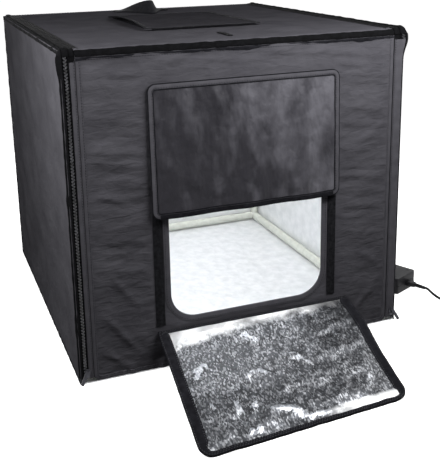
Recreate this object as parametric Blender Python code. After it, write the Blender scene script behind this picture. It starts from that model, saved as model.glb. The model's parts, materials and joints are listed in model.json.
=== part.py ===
"""Folding light tent: a fabric cube on a tube frame, with zips, flaps, two light bars and an adapter.

Metres, +Z up. The origin is the centre of the tent's footprint on the floor, and the front faces -Y.
"""

import math

import bmesh
import bpy
import numpy as np
from mathutils import Matrix, Vector

# Tent
TENT_WIDTH = 0.610
TENT_DEPTH = 0.655
TENT_HEIGHT = 0.560
FABRIC = 0.0016
GAP = 0.0003
CUT_OVERRUN = 0.002
ARC_STEPS = 6
SMOOTH_ANGLE = math.radians(40)
ROUND_SHARE = 0.98

# Frame tubes and their corner pieces
TUBE_DIAMETER = 0.019
TUBE_WALL = 0.0012
PEG_LENGTH = 0.030
TUBE_SIDES = 12
BALL_RINGS = 8

# Zips
ZIP_TAPE_WIDTH = 0.022
ZIP_CHAIN_WIDTH = 0.006
ZIP_CHAIN_THICKNESS = 0.0014
ZIP_START_HEIGHT = 0.010
CHAIN_START_HEIGHT = 0.014
CHAIN_END_MARGIN = 0.012
SLIDER_WIDTH = 0.010
SLIDER_LENGTH = 0.014
SLIDER_THICKNESS = 0.0042
SLIDER_HEIGHT = 0.020
SLIDER_BEVEL = 0.0012
PULL_LENGTH = 0.026
PULL_WIDTH = 0.0055
PULL_THICKNESS = 0.0014
PULL_HOLE_DIAMETER = 0.0026
PULL_FORWARD_DEG = 12.0
PULL_OUTWARD_DEG = 28.0
PULL_END_SHARE = 0.45

# Door and its window
DOOR_FLOOR_CLEARANCE = 0.003
DOOR_CHAMFER = 0.007
WINDOW_WIDTH = 0.286
WINDOW_BOTTOM = 0.0885
WINDOW_TOP = 0.470
WINDOW_RADIUS = 0.046
HOOK_TAPE_WIDTH = 0.016
HOOK_TAPE_THICKNESS = 0.0012
HOOK_TAPE_MARGIN = 0.012
HOOK_TAPE_BOTTOM = 0.080
HOOK_TAPE_TOP = 0.486

# Upper flap
UPPER_FLAP_WIDTH = 0.344
UPPER_FLAP_TOP = 0.4975
UPPER_FLAP_DROP = 0.223
UPPER_FLAP_RADIUS = 0.013
UPPER_FLAP_BORDER = 0.009
UPPER_FLAP_LEAN_DEG = 1.5
UPPER_FLAP_FOLD_DEPTH = 0.0035
UPPER_FLAP_FOLDS = 3
UPPER_FLAP_FOLD_CELLS = 18
UPPER_FLAP_DROP_CELLS = 6

# Lower flap
LOWER_FLAP_WIDTH = 0.364
LOWER_FLAP_X = 0.012
LOWER_FLAP_REACH = 0.256
LOWER_FLAP_SHIFT = 0.020
LOWER_FLAP_SKEW = 0.012
LOWER_FLAP_HINGE_HEIGHT = 0.070
LOWER_FLAP_RADIUS = 0.022
LOWER_FLAP_SIDE_BORDER = 0.018
LOWER_FLAP_END_BORDER = 0.009
LOWER_FLAP_HEM = 0.0013
LOWER_FLAP_HEM_SHARE = 0.4
BINDING_THICKNESS = 0.0030

# Top window and its flap
TOP_WINDOW_WIDTH = 0.180
TOP_WINDOW_DEPTH = 0.240
TOP_WINDOW_RADIUS = 0.030
TOP_FLAP_WIDTH = 0.236
TOP_FLAP_DEPTH = 0.284
TOP_FLAP_RADIUS = 0.012
TOP_FLAP_CURL = 0.010
TOP_FLAP_CURL_SHARE = 0.30
TOP_FLAP_CELLS = 6
TOP_FLAP_RIGHT = 0.112
TOP_FLAP_CENTRE_Y = -0.002

# Tab and carry handle on the top
KEEPER_TAB_WIDTH = 0.010
KEEPER_TAB_LENGTH = 0.054
KEEPER_TAB_THICKNESS = 0.0020
KEEPER_TAB_X = -0.009
KEEPER_TAB_Y = -0.257
HANDLE_SPAN = 0.096
HANDLE_END_LENGTH = 0.012
HANDLE_WIDTH = 0.036
HANDLE_THICKNESS = 0.0030
HANDLE_REACH = 0.082
HANDLE_RISE_HEIGHT = 0.016
HANDLE_TURN_DEG = 62.0
HANDLE_X = -0.002
HANDLE_Y = 0.284
HANDLE_STEPS = 18

# Light bars
BAR_WIDTH = 0.020
BAR_HEIGHT = 0.010
BAR_WALL = 0.0012
BAR_END_MARGIN = 0.012
BAR_CAP_LENGTH = 0.004
BOARD_THICKNESS = 0.0014
LED_SIZE = 0.005
LED_HEIGHT = 0.0010
LED_COUNT = 14
HOOK_THICKNESS = 0.0020
HOOK_FOOT = 0.016
HOOK_TIP_DEG = 138.0
HOOK_END_DEG = 318.0
HOOK_STEPS = 12
FRONT_BAR_Y = -0.190
REAR_BAR_Y = 0.170

# Power adapter
ADAPTER_LENGTH = 0.165
ADAPTER_WIDTH = 0.067
ADAPTER_HEIGHT = 0.034
ADAPTER_WALL = 0.0022
ADAPTER_RADIUS = 0.0045
ADAPTER_CHAMFER = 0.0015
ADAPTER_TURN_DEG = 24.5
ADAPTER_FRONT_Y = -0.2355
ADAPTER_BOARD_LIFT = 0.0030
ADAPTER_BOARD_MARGIN = 0.004
ADAPTER_POST = 0.005
INLET_WIDTH = 0.020
INLET_HEIGHT = 0.013
INLET_DEPTH = 0.015
INLET_CORNER = 0.0012
INLET_ALONG = 0.039
INLET_LEVEL = 0.0145
OUTLET_DIAMETER = 0.010
OUTLET_BORE = 0.005
OUTLET_LENGTH = 0.007

# Blocks and capacitors on the adapter's board, as shares of its case: low and high x, low and high y,
# height; then x, y, radius, height
BLOCK_SHARES = ((0.30, 0.70, 0.40, 0.58, 0.98), (0.16, 0.20, 0.34, 0.80, 0.88))
CAPACITOR_SHARES = ((0.42, 0.24, 0.12, 0.85), (0.68, 0.26, 0.09, 0.60), (0.40, 0.72, 0.10, 0.90),
                    (0.66, 0.72, 0.10, 0.90))

# Mains lead
LEAD_DIAMETER = 0.005
LEAD_LENGTH = 1.5
NOSE_WIDTH = 0.0142
NOSE_HEIGHT = 0.0078
NOSE_LENGTH = 0.010
GRIP_WIDTH = 0.0166
GRIP_HEIGHT = 0.0104
GRIP_LENGTH = 0.018
GRIP_CORNER = 0.0034
GRIP_TAPER = 0.005
RELIEF_LENGTH = 0.022
RELIEF_START_DIAMETER = 0.0088
RELIEF_END_DIAMETER = 0.0066
LEAD_ROUTE = ((0.4313, -0.2688, 0.0090), (0.4347, -0.2812, 0.0048), (0.4380, -0.2915, 0.0030),
              (0.4450, -0.3040, 0.0027), (0.4590, -0.3150, 0.0027), (0.4800, -0.3222, 0.0027))
LEAD_POINTS = 16
COIL_CENTRE = (0.5200, -0.2850)
COIL_INNER_RADIUS = 0.0200
COIL_TURNS_PER_LAYER = 3.5
COIL_TAIL_TURN = 0.25
COIL_TAIL_SHARE = 0.75
COIL_STRAND_GAP = 0.00055
COIL_POINTS_PER_TURN = 24
PLUG_WIDTH = 0.0350
PLUG_THICKNESS = 0.0140
PLUG_LENGTH = 0.0360
PLUG_RELIEF_LENGTH = 0.022
PLUG_SHOULDER = 0.012
PLUG_HEAD = 0.008
PLUG_CORNER = 0.0045
PLUG_NECK_SHARE = 0.8
PIN_DIAMETER = 0.004
PIN_LENGTH = 0.019
PIN_SPACING = 0.0186

# Places worked out from the sizes above
TUBE_RADIUS = TUBE_DIAMETER / 2
TUBE_INSET = FABRIC + GAP + TUBE_RADIUS
HALF_WIDTH = TENT_WIDTH / 2
HALF_DEPTH = TENT_DEPTH / 2
FRONT = -HALF_DEPTH
COVER_HALF_WIDTH = HALF_WIDTH - ZIP_TAPE_WIDTH - GAP
DOOR_TOP = TENT_HEIGHT - TUBE_INSET - GAP
TAPE_CENTRE_X = HALF_WIDTH - ZIP_TAPE_WIDTH / 2
FLAP_OFFSET = HOOK_TAPE_THICKNESS + 2 * GAP + BINDING_THICKNESS / 2
LOWER_FLAP_OFFSET = GAP + BINDING_THICKNESS / 2
LOWER_FLAP_FALL = LOWER_FLAP_HINGE_HEIGHT - BINDING_THICKNESS / 2
TOP_FLAP_LEVEL = TENT_HEIGHT + HOOK_TAPE_THICKNESS + 2 * GAP + FABRIC / 2
HANDLE_LEVEL = TENT_HEIGHT + GAP + HANDLE_THICKNESS / 2
SLIDER_FACE = FRONT - ZIP_CHAIN_THICKNESS - GAP
PULL_PIVOT = Vector((TAPE_CENTRE_X, SLIDER_FACE - SLIDER_THICKNESS - GAP - PULL_THICKNESS / 2,
                     SLIDER_HEIGHT + SLIDER_LENGTH / 2 + GAP + PULL_THICKNESS / 2))

# Each moving body: the body that carries it, and a point on its joint's axis
BODIES = {
    "top_cover": (None, (0, HALF_DEPTH, TENT_HEIGHT)),
    "front_door": ("top_cover", (0, FRONT, DOOR_TOP)),
    "upper_flap": ("front_door", (0, FRONT - FLAP_OFFSET, UPPER_FLAP_TOP)),
    "lower_flap": ("front_door", (LOWER_FLAP_X, FRONT - LOWER_FLAP_OFFSET, LOWER_FLAP_HINGE_HEIGHT)),
    "top_flap": ("top_cover", (TOP_FLAP_RIGHT, TOP_FLAP_CENTRE_Y, TOP_FLAP_LEVEL)),
    "carry_handle": ("top_cover", (HANDLE_X, HANDLE_Y + HANDLE_WIDTH / 2, HANDLE_LEVEL)),
    "left_zip_slider": (None, (-TAPE_CENTRE_X, SLIDER_FACE, SLIDER_HEIGHT)),
    "left_zip_pull": ("left_zip_slider", (-PULL_PIVOT.x, PULL_PIVOT.y, PULL_PIVOT.z)),
    "right_zip_slider": (None, (TAPE_CENTRE_X, SLIDER_FACE, SLIDER_HEIGHT)),
    "right_zip_pull": ("right_zip_slider", tuple(PULL_PIVOT)),
    "front_light_bar": (None, (0, FRONT_BAR_Y, TENT_HEIGHT - TUBE_INSET)),
    "rear_light_bar": (None, (0, REAR_BAR_Y, TENT_HEIGHT - TUBE_INSET)),
}

# Finishes: linear colour, roughness, metallic
FINISHES = {
    "black_nylon": ((0.060, 0.060, 0.065), 0.55, 0.0),
    "binding_tape": ((0.013, 0.013, 0.015), 0.80, 0.0),
    "silver_foil": ((0.72, 0.73, 0.75), 0.28, 0.9),
    "hook_tape": ((0.010, 0.010, 0.011), 0.95, 0.0),
    "webbing": ((0.016, 0.016, 0.018), 0.75, 0.0),
    "dark_metal": ((0.080, 0.080, 0.085), 0.35, 1.0),
    "tube_enamel": ((0.70, 0.72, 0.68), 0.40, 0.0),
    "white_plastic": ((0.75, 0.75, 0.73), 0.45, 0.0),
    "aluminium": ((0.60, 0.61, 0.62), 0.35, 1.0),
    "board": ((0.80, 0.80, 0.78), 0.50, 0.0),
    "black_plastic": ((0.018, 0.018, 0.020), 0.42, 0.0),
    "lead_jacket": ((0.012, 0.012, 0.013), 0.50, 0.0),
}

carriers = {}
finishes = {}


def clear_scene():
    """Remove whatever the file holds."""
    for item in list(bpy.data.objects):
        bpy.data.objects.remove(item, do_unlink=True)


def finish(name):
    """Material of one named finish, made once."""
    if name not in finishes:
        colour, roughness, metallic = FINISHES[name]
        material = bpy.data.materials.new(name)
        material.use_nodes = True
        shader = material.node_tree.nodes["Principled BSDF"]
        shader.inputs["Base Color"].default_value = (*colour, 1.0)
        shader.inputs["Roughness"].default_value = roughness
        shader.inputs["Metallic"].default_value = metallic
        finishes[name] = material
    return finishes[name]


def make_carriers():
    """An empty on each joint's axis, hung on the empty of the body that carries it."""
    for body, (parent, point) in BODIES.items():
        empty = bpy.data.objects.new("joint_" + body, None)
        bpy.context.collection.objects.link(empty)
        base = Vector(BODIES[parent][1]) if parent else Vector()
        empty.parent = carriers.get(parent)
        empty.location = Vector(point) - base
        carriers[body] = empty


def local_mesh(name, bm, body):
    """Closed mesh in its body's frame, from one in the tent's frame."""
    bmesh.ops.recalc_face_normals(bm, faces=bm.faces)
    if body:
        bm.transform(Matrix.Translation(-Vector(BODIES[body][1])))
    mesh = bpy.data.meshes.new(name)
    bm.to_mesh(mesh)
    bm.free()
    return mesh


def piece(name, bm, look, body=None, smooth=False):
    """One named piece, from a mesh in the tent's frame, carried by its body's empty."""
    item = bpy.data.objects.new(name, local_mesh(name, bm, body))
    bpy.context.collection.objects.link(item)
    item.data.materials.append(finish(look))
    item.parent = carriers.get(body)
    if smooth:
        item.data.shade_smooth()
        item.data.set_sharp_from_angle(angle=SMOOTH_ANGLE)
    return item


def piece_at_joint(name, bm, look, body, turn=(0, 0, 0)):
    """One named piece, from a mesh whose own zero is on its joint's axis, turned there."""
    item = piece(name, bm, look)
    item.parent = carriers[body]
    item.rotation_euler = turn
    return item


def combine(item, bm, name, operation, body=None):
    """Cut a piece by a closed mesh, or join it on, and keep that mesh as a hidden guide."""
    guide = bpy.data.objects.new(name, local_mesh(name, bm, body))
    bpy.context.collection.objects.link(guide)
    guide.parent = item
    guide.hide_render = True
    guide.display_type = "WIRE"
    change = item.modifiers.new(name, "BOOLEAN")
    change.operation = operation
    change.object = guide


def bevel(item, width):
    """Chamfer a piece's sharp edges."""
    change = item.modifiers.new("edges", "BEVEL")
    change.width = width
    change.limit_method = "ANGLE"


def unit(axis):
    """Unit direction along one axis."""
    return Vector([float(letter == axis) for letter in "xyz"])


def rounded(low_a, high_a, low_b, high_b, radius, steps=ARC_STEPS):
    """Outline of a rectangle with round corners, anticlockwise."""
    corners = ((high_a - radius, high_b - radius, 0), (low_a + radius, high_b - radius, 90),
               (low_a + radius, low_b + radius, 180), (high_a - radius, low_b + radius, 270))
    points = []
    for a, b, start in corners:
        for step in range(steps + 1):
            angle = math.radians(start + 90 * step / steps)
            points.append((a + radius * math.cos(angle), b + radius * math.sin(angle)))
    return points


def place(axis, a, b, level):
    """Point of an outline that lies across an axis, at a level along it."""
    return {"x": (level, a, b), "y": (a, level, b), "z": (a, b, level)}[axis]


def add_plate(bm, outlines, axis, low, high):
    """Flat solid between two levels of an axis: the first outline is its edge, the others are holes."""
    sides = []
    for level in (low, high):
        edges, rings = [], []
        for outline in outlines:
            ring = [bm.verts.new(place(axis, a, b, level)) for a, b in outline]
            edges += [bm.edges.new(pair) for pair in zip(ring, ring[1:] + ring[:1])]
            rings.append(ring)
        bmesh.ops.triangle_fill(bm, use_beauty=True, edges=edges)
        sides.append(rings)
    for near, far in zip(*sides):
        for first in range(len(near)):
            second = (first + 1) % len(near)
            bm.faces.new((near[first], near[second], far[second], far[first]))
    return bm


def add_loft(bm, rings, closed=False):
    """Skin through rings of points, with flat ends, or joined last to first when closed."""
    rows = [[bm.verts.new(point) for point in ring] for ring in rings]
    pairs = list(zip(rows, rows[1:]))
    if closed:
        pairs.append((rows[-1], rows[0]))
    else:
        bm.faces.new(rows[0])
        bm.faces.new(rows[-1])
    for near, far in pairs:
        for first in range(len(near)):
            second = (first + 1) % len(near)
            bm.faces.new((near[first], near[second], far[second], far[first]))
    return bm


def add_box(bm, low, high):
    """Box between two corners."""
    outline = ((low[0], low[1]), (high[0], low[1]), (high[0], high[1]), (low[0], high[1]))
    return add_loft(bm, [[(a, b, level) for a, b in outline] for level in (low[2], high[2])])


def circle(centre, radius, side, up, count):
    """Ring of points in the plane of two unit directions."""
    centre, side, up = Vector(centre), Vector(side), Vector(up)
    angles = (math.tau * step / count for step in range(count))
    return [centre + side * radius * math.cos(a) + up * radius * math.sin(a) for a in angles]


def edge_path(outward, start_height):
    """Path in Y and Z up the tent's front edge, round its corner and back along the top."""
    centre = (FRONT + TUBE_INSET, TENT_HEIGHT - TUBE_INSET)
    radius = TUBE_INSET + outward
    points = [(FRONT - outward, start_height)] if start_height is not None else []
    for step in range(ARC_STEPS + 1):
        angle = math.radians(180 - 90 * step / ARC_STEPS)
        points.append((centre[0] + radius * math.cos(angle), centre[1] + radius * math.sin(angle)))
    return points


def ribbon(inner, outer, start_height, end_y):
    """Outline of a strip that follows the front edge, the corner and the top, between two offsets."""
    outside = edge_path(outer, start_height) + [(end_y, TENT_HEIGHT + outer)]
    inside = edge_path(inner, start_height) + [(end_y, TENT_HEIGHT + inner)]
    return outside + inside[::-1]


def make_tubes():
    """Twelve tubes, each between two corner pieces."""
    x = HALF_WIDTH - TUBE_INSET
    y = HALF_DEPTH - TUBE_INSET
    levels = {"bottom": TUBE_INSET, "top": TENT_HEIGHT - TUBE_INSET}
    ends = {}
    for height, z in levels.items():
        ends[height + "_front_tube"] = (Vector((-x, -y, z)), Vector((x, -y, z)))
        ends[height + "_back_tube"] = (Vector((-x, y, z)), Vector((x, y, z)))
        ends[height + "_left_tube"] = (Vector((-x, -y, z)), Vector((-x, y, z)))
        ends[height + "_right_tube"] = (Vector((x, -y, z)), Vector((x, y, z)))
    for depth, side_y in (("front", -y), ("back", y)):
        for side, side_x in (("left", -x), ("right", x)):
            low, high = Vector((side_x, side_y, levels["bottom"])), Vector((side_x, side_y, levels["top"]))
            ends[depth + "_" + side + "_upright"] = (low, high)
    for name, (start, end) in ends.items():
        along = (end - start).normalized()
        side = Vector((0, 0, 1)) if abs(along.z) < 0.5 else Vector((1, 0, 0))
        up = along.cross(side)
        near = start + along * (TUBE_RADIUS + GAP)
        far = end - along * (TUBE_RADIUS + GAP)
        bore = TUBE_RADIUS - TUBE_WALL
        rings = [circle(point, radius, side, up, TUBE_SIDES)
                 for point, radius in ((near, TUBE_RADIUS), (far, TUBE_RADIUS), (far, bore), (near, bore))]
        piece(name, add_loft(bmesh.new(), rings, closed=True), "tube_enamel", smooth=True)


def make_corner_connectors():
    """Ball with three pegs in each corner."""
    x = HALF_WIDTH - TUBE_INSET
    y = HALF_DEPTH - TUBE_INSET
    levels = {"bottom": (TUBE_INSET, 0.0), "top": (TENT_HEIGHT - TUBE_INSET, math.pi)}
    for height, (z, over) in levels.items():
        for depth, side_y in (("front", -1), ("back", 1)):
            for side, side_x in (("left", -1), ("right", 1)):
                item = connector("%s_%s_%s_connector" % (height, depth, side))
                item.location = (side_x * x, side_y * y, z)
                flip = side_y if height == "bottom" else -side_y
                quarter = {(-1, -1): 0, (1, -1): 1, (1, 1): 2, (-1, 1): 3}[side_x, flip]
                item.rotation_euler = (over, 0, (-quarter if over else quarter) * math.pi / 2)


def connector(name):
    """Corner piece whose pegs point along +X, +Y and +Z."""
    ball = bmesh.new()
    bmesh.ops.create_uvsphere(ball, u_segments=TUBE_SIDES, v_segments=BALL_RINGS, radius=TUBE_RADIUS)
    item = piece(name, ball, "white_plastic", smooth=True)
    peg_radius = TUBE_RADIUS - TUBE_WALL - GAP
    for axis, side in (("x", "z"), ("y", "z"), ("z", "x")):
        along, across = unit(axis), unit(side)
        ends = (Vector(), along * (TUBE_RADIUS + PEG_LENGTH))
        rings = [circle(end, peg_radius, across, along.cross(across), TUBE_SIDES) for end in ends]
        combine(item, add_loft(bmesh.new(), rings), name + "_peg_" + axis, "UNION")
    return item


def make_walls():
    """Floor, back and side panels of the fabric shell."""
    inner_front = FRONT + FABRIC + GAP
    floor_top = FABRIC + GAP
    ceiling = TENT_HEIGHT - FABRIC - GAP
    floor = add_box(bmesh.new(), (-HALF_WIDTH, inner_front, 0), (HALF_WIDTH, HALF_DEPTH, FABRIC))
    piece("floor_panel", floor, "silver_foil")
    back = add_box(bmesh.new(), (-HALF_WIDTH, HALF_DEPTH - FABRIC, floor_top),
                   (HALF_WIDTH, HALF_DEPTH, ceiling))
    piece("back_wall", back, "black_nylon")
    rear = HALF_DEPTH - FABRIC - GAP
    outline = edge_path(-FABRIC - GAP, floor_top) + [(rear, ceiling), (rear, floor_top)]
    for name, outer in (("left_wall", -HALF_WIDTH), ("right_wall", HALF_WIDTH - FABRIC)):
        piece(name, add_plate(bmesh.new(), [outline], "x", outer, outer + FABRIC), "black_nylon")


def make_zips():
    """Tape with its chain, slider and pull at each side."""
    for name, side in (("left", -1), ("right", 1)):
        centre = side * TAPE_CENTRE_X
        tape = ribbon(-FABRIC, 0, ZIP_START_HEIGHT, HALF_DEPTH)
        item = piece(name + "_zip", add_plate(bmesh.new(), [tape], "x", centre - ZIP_TAPE_WIDTH / 2,
                                              centre + ZIP_TAPE_WIDTH / 2), "binding_tape")
        chain = ribbon(-FABRIC / 2, ZIP_CHAIN_THICKNESS, CHAIN_START_HEIGHT, HALF_DEPTH - CHAIN_END_MARGIN)
        combine(item, add_plate(bmesh.new(), [chain], "x", centre - ZIP_CHAIN_WIDTH / 2,
                                centre + ZIP_CHAIN_WIDTH / 2), name + "_chain_guide", "UNION")
        low = (centre - SLIDER_WIDTH / 2, SLIDER_FACE - SLIDER_THICKNESS, SLIDER_HEIGHT - SLIDER_LENGTH / 2)
        high = (centre + SLIDER_WIDTH / 2, SLIDER_FACE, SLIDER_HEIGHT + SLIDER_LENGTH / 2)
        slider = piece(name + "_zip_slider", add_box(bmesh.new(), low, high), "dark_metal",
                       name + "_zip_slider")
        bevel(slider, SLIDER_BEVEL)
        make_pull(name, side)


def make_pull(name, side):
    """Pull tab that hangs outwards from its slider, with a hole on its joint's axis."""
    half = PULL_WIDTH / 2
    corner = PULL_WIDTH * PULL_END_SHARE
    outline = rounded(-half, half, -PULL_LENGTH, half, corner, 2)
    radius = PULL_HOLE_DIAMETER / 2
    hole = [(point.x, point.z) for point in circle((0, 0, 0), radius, unit("x"), unit("z"), 8)]
    bm = add_plate(bmesh.new(), [outline, hole], "y", -PULL_THICKNESS / 2, PULL_THICKNESS / 2)
    turn = (math.radians(-PULL_FORWARD_DEG), math.radians(-side * PULL_OUTWARD_DEG), 0)
    piece_at_joint(name + "_zip_pull", bm, "dark_metal", name + "_zip_pull", turn)


def make_top():
    """Top of the cover, rolled over the front tube, with its window, hook tape and tab."""
    cover = ribbon(-FABRIC, 0, None, HALF_DEPTH)
    bm = add_plate(bmesh.new(), [cover], "x", -COVER_HALF_WIDTH, COVER_HALF_WIDTH)
    top = piece("top_panel", bm, "black_nylon", "top_cover")
    half_x, half_y = TOP_WINDOW_WIDTH / 2, TOP_WINDOW_DEPTH / 2
    near, far = TOP_FLAP_CENTRE_Y - half_y, TOP_FLAP_CENTRE_Y + half_y
    hole = rounded(-half_x, half_x, near, far, TOP_WINDOW_RADIUS)
    cutter = add_plate(bmesh.new(), [hole], "z", TENT_HEIGHT - FABRIC - CUT_OVERRUN,
                       TENT_HEIGHT + CUT_OVERRUN)
    combine(top, cutter, "top_window_guide", "DIFFERENCE", "top_cover")
    level, wide = TENT_HEIGHT + GAP, HOOK_TAPE_WIDTH
    strip = [(half_x, near), (-half_x, near), (-half_x, far), (half_x, far), (half_x, far + wide),
             (-half_x - wide, far + wide), (-half_x - wide, near - wide), (half_x, near - wide)]
    piece("top_window_hook_tape", add_plate(bmesh.new(), [strip], "z", level, level + HOOK_TAPE_THICKNESS),
          "hook_tape", "top_cover")
    tab = rounded(KEEPER_TAB_X - KEEPER_TAB_WIDTH / 2, KEEPER_TAB_X + KEEPER_TAB_WIDTH / 2,
                  KEEPER_TAB_Y - KEEPER_TAB_LENGTH / 2, KEEPER_TAB_Y + KEEPER_TAB_LENGTH / 2,
                  KEEPER_TAB_WIDTH / 3, 2)
    piece("keeper_tab", add_plate(bmesh.new(), [tab], "z", level, level + KEEPER_TAB_THICKNESS), "webbing",
          "top_cover")


def make_handle():
    """Strap sewn flat at both ends, whose middle turns on edge and bows forward."""
    half = HANDLE_SPAN / 2
    stations = [(-half - HANDLE_END_LENGTH, 0.0)]
    stations += [(HANDLE_SPAN * (step / HANDLE_STEPS - 0.5), step / HANDLE_STEPS)
                 for step in range(HANDLE_STEPS + 1)]
    stations += [(half + HANDLE_END_LENGTH, 1.0)]
    rings = []
    for x, share in stations:
        bow = math.sin(math.pi * share) ** 2
        turn = math.radians(HANDLE_TURN_DEG) * bow
        width = Vector((0, math.cos(turn), math.sin(turn)))
        face = Vector((0, -math.sin(turn), math.cos(turn)))
        lift = max(HANDLE_RISE_HEIGHT * bow, HANDLE_WIDTH / 2 * math.sin(turn))
        centre = Vector((HANDLE_X + x, HANDLE_Y - HANDLE_REACH * bow, HANDLE_LEVEL + lift))
        half_w, half_t = width * HANDLE_WIDTH / 2, face * HANDLE_THICKNESS / 2
        rings.append([centre - half_w - half_t, centre + half_w - half_t, centre + half_w + half_t,
                      centre - half_w + half_t])
    piece("carry_handle", add_loft(bmesh.new(), rings), "webbing", "carry_handle", smooth=True)


def slice_mesh(bm, axis, low, high, cells):
    """Cut a mesh by evenly spaced planes across an axis, so that it can bend there."""
    normal = unit(axis)
    for step in range(1, cells):
        point = normal * (low + (high - low) * step / cells)
        geometry = bm.verts[:] + bm.edges[:] + bm.faces[:]
        bmesh.ops.bisect_plane(bm, geom=geometry, plane_co=point, plane_no=normal, dist=GAP / 10)
    return bm


def fold_upper_flap(bm):
    """Soft upright folds, which deepen towards the flap's free edge."""
    for vert in bm.verts:
        down = -vert.co.z / UPPER_FLAP_DROP
        across = vert.co.x / UPPER_FLAP_WIDTH
        wave = 1 + math.cos(math.tau * UPPER_FLAP_FOLDS * across)
        vert.co.y -= UPPER_FLAP_FOLD_DEPTH * wave / 2 * down ** 1.5
    return bm


def make_upper_flap():
    """Flap that hangs over the upper half of the window, with its bound edge."""
    half = UPPER_FLAP_WIDTH / 2
    drop, corner = UPPER_FLAP_DROP, UPPER_FLAP_RADIUS
    outer = rounded(-half, half, -drop, 0, corner, 3)

    def inside(inset):
        return rounded(-half + inset, half - inset, -drop + inset, -inset, corner / 2, 3)

    turn = (math.radians(-UPPER_FLAP_LEAN_DEG), 0, 0)
    parts = (("upper_flap_panel", [inside(UPPER_FLAP_BORDER + GAP)], FABRIC, "black_nylon"),
             ("upper_flap_binding", [outer, inside(UPPER_FLAP_BORDER)], BINDING_THICKNESS, "binding_tape"))
    for name, outlines, thickness, look in parts:
        bm = add_plate(bmesh.new(), outlines, "y", -thickness / 2, thickness / 2)
        slice_mesh(bm, "x", -half, half, UPPER_FLAP_FOLD_CELLS)
        slice_mesh(bm, "z", -drop, 0, UPPER_FLAP_DROP_CELLS)
        piece_at_joint(name, fold_upper_flap(bm), look, "upper_flap", turn)


def make_lower_flap():
    """Flap that lies open on the floor, foil side up, with its bound edge."""
    half, reach, radius = LOWER_FLAP_WIDTH / 2, LOWER_FLAP_REACH, LOWER_FLAP_RADIUS
    side, end = LOWER_FLAP_SIDE_BORDER, LOWER_FLAP_END_BORDER
    outer = [(half, 0), (-half, 0)] + rounded(-half, half, -reach, 0, radius)[2 * (ARC_STEPS + 1):]

    def inside(gap):
        return rounded(-half + side + gap, half - side - gap, -reach + end + gap, -end - gap,
                       (radius - end) / 2, 2)

    parts = (("lower_flap_panel", [inside(GAP)], FABRIC, "silver_foil"),
             ("lower_flap_binding", [outer, inside(0)], BINDING_THICKNESS, "binding_tape"))
    for name, outlines, thickness, look in parts:
        bm = add_plate(bmesh.new(), outlines, "z", -thickness / 2, thickness / 2)
        piece_at_joint(name, lay_lower_flap(bm), look, "lower_flap")


def lay_lower_flap(bm):
    """Slope from a thin hem at the hinge down to the floor, drawn to the left and further out there."""
    for vert in bm.verts:
        if vert.co.y > -GAP:
            vert.co.y += LOWER_FLAP_HEM
            vert.co.z *= LOWER_FLAP_HEM_SHARE
            continue
        share = -vert.co.y / LOWER_FLAP_REACH
        vert.co.y -= LOWER_FLAP_SKEW * share * -vert.co.x / (LOWER_FLAP_WIDTH / 2)
        vert.co.x -= LOWER_FLAP_SHIFT * share
        vert.co.z -= LOWER_FLAP_FALL * share
    return bm


def make_top_flap():
    """Flap over the top window, whose free edge curls up between its corners."""
    width, half_y = TOP_FLAP_WIDTH, TOP_FLAP_DEPTH / 2
    outline = rounded(-width, 0, -half_y, half_y, TOP_FLAP_RADIUS, 3)
    bm = add_plate(bmesh.new(), [outline], "z", -FABRIC / 2, FABRIC / 2)
    flat = width * (1 - TOP_FLAP_CURL_SHARE)
    slice_mesh(bm, "x", -width, -flat, TOP_FLAP_CELLS)
    slice_mesh(bm, "y", -half_y, half_y, TOP_FLAP_CELLS)
    for vert in bm.verts:
        past = max(0.0, (-vert.co.x - flat) / (width - flat))
        vert.co.z += TOP_FLAP_CURL * past ** 2 * (1 - (vert.co.y / half_y) ** 2)
    piece_at_joint("top_flap_panel", bm, "black_nylon", "top_flap")


def make_door():
    """Front of the cover, with its window and the hook tape beside it."""
    half, low, high = COVER_HALF_WIDTH, DOOR_FLOOR_CLEARANCE, DOOR_TOP
    chamfer = DOOR_CHAMFER
    edge = [(half, high), (-half, high), (-half, low + chamfer), (-half + chamfer, low),
            (half - chamfer, low), (half, low + chamfer)]
    window = rounded(-WINDOW_WIDTH / 2, WINDOW_WIDTH / 2, WINDOW_BOTTOM, WINDOW_TOP, WINDOW_RADIUS)
    door = add_plate(bmesh.new(), [edge, window], "y", FRONT, FRONT + FABRIC)
    piece("door_panel", door, "black_nylon", "front_door")
    for name, side in (("left", -1), ("right", 1)):
        near = side * (WINDOW_WIDTH / 2 + HOOK_TAPE_MARGIN)
        low_x, high_x = sorted((near, near + side * HOOK_TAPE_WIDTH))
        strip = add_box(bmesh.new(), (low_x, FRONT - GAP - HOOK_TAPE_THICKNESS, HOOK_TAPE_BOTTOM),
                        (high_x, FRONT - GAP, HOOK_TAPE_TOP))
        piece("window_hook_tape_" + name, strip, "hook_tape", "front_door")


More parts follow.
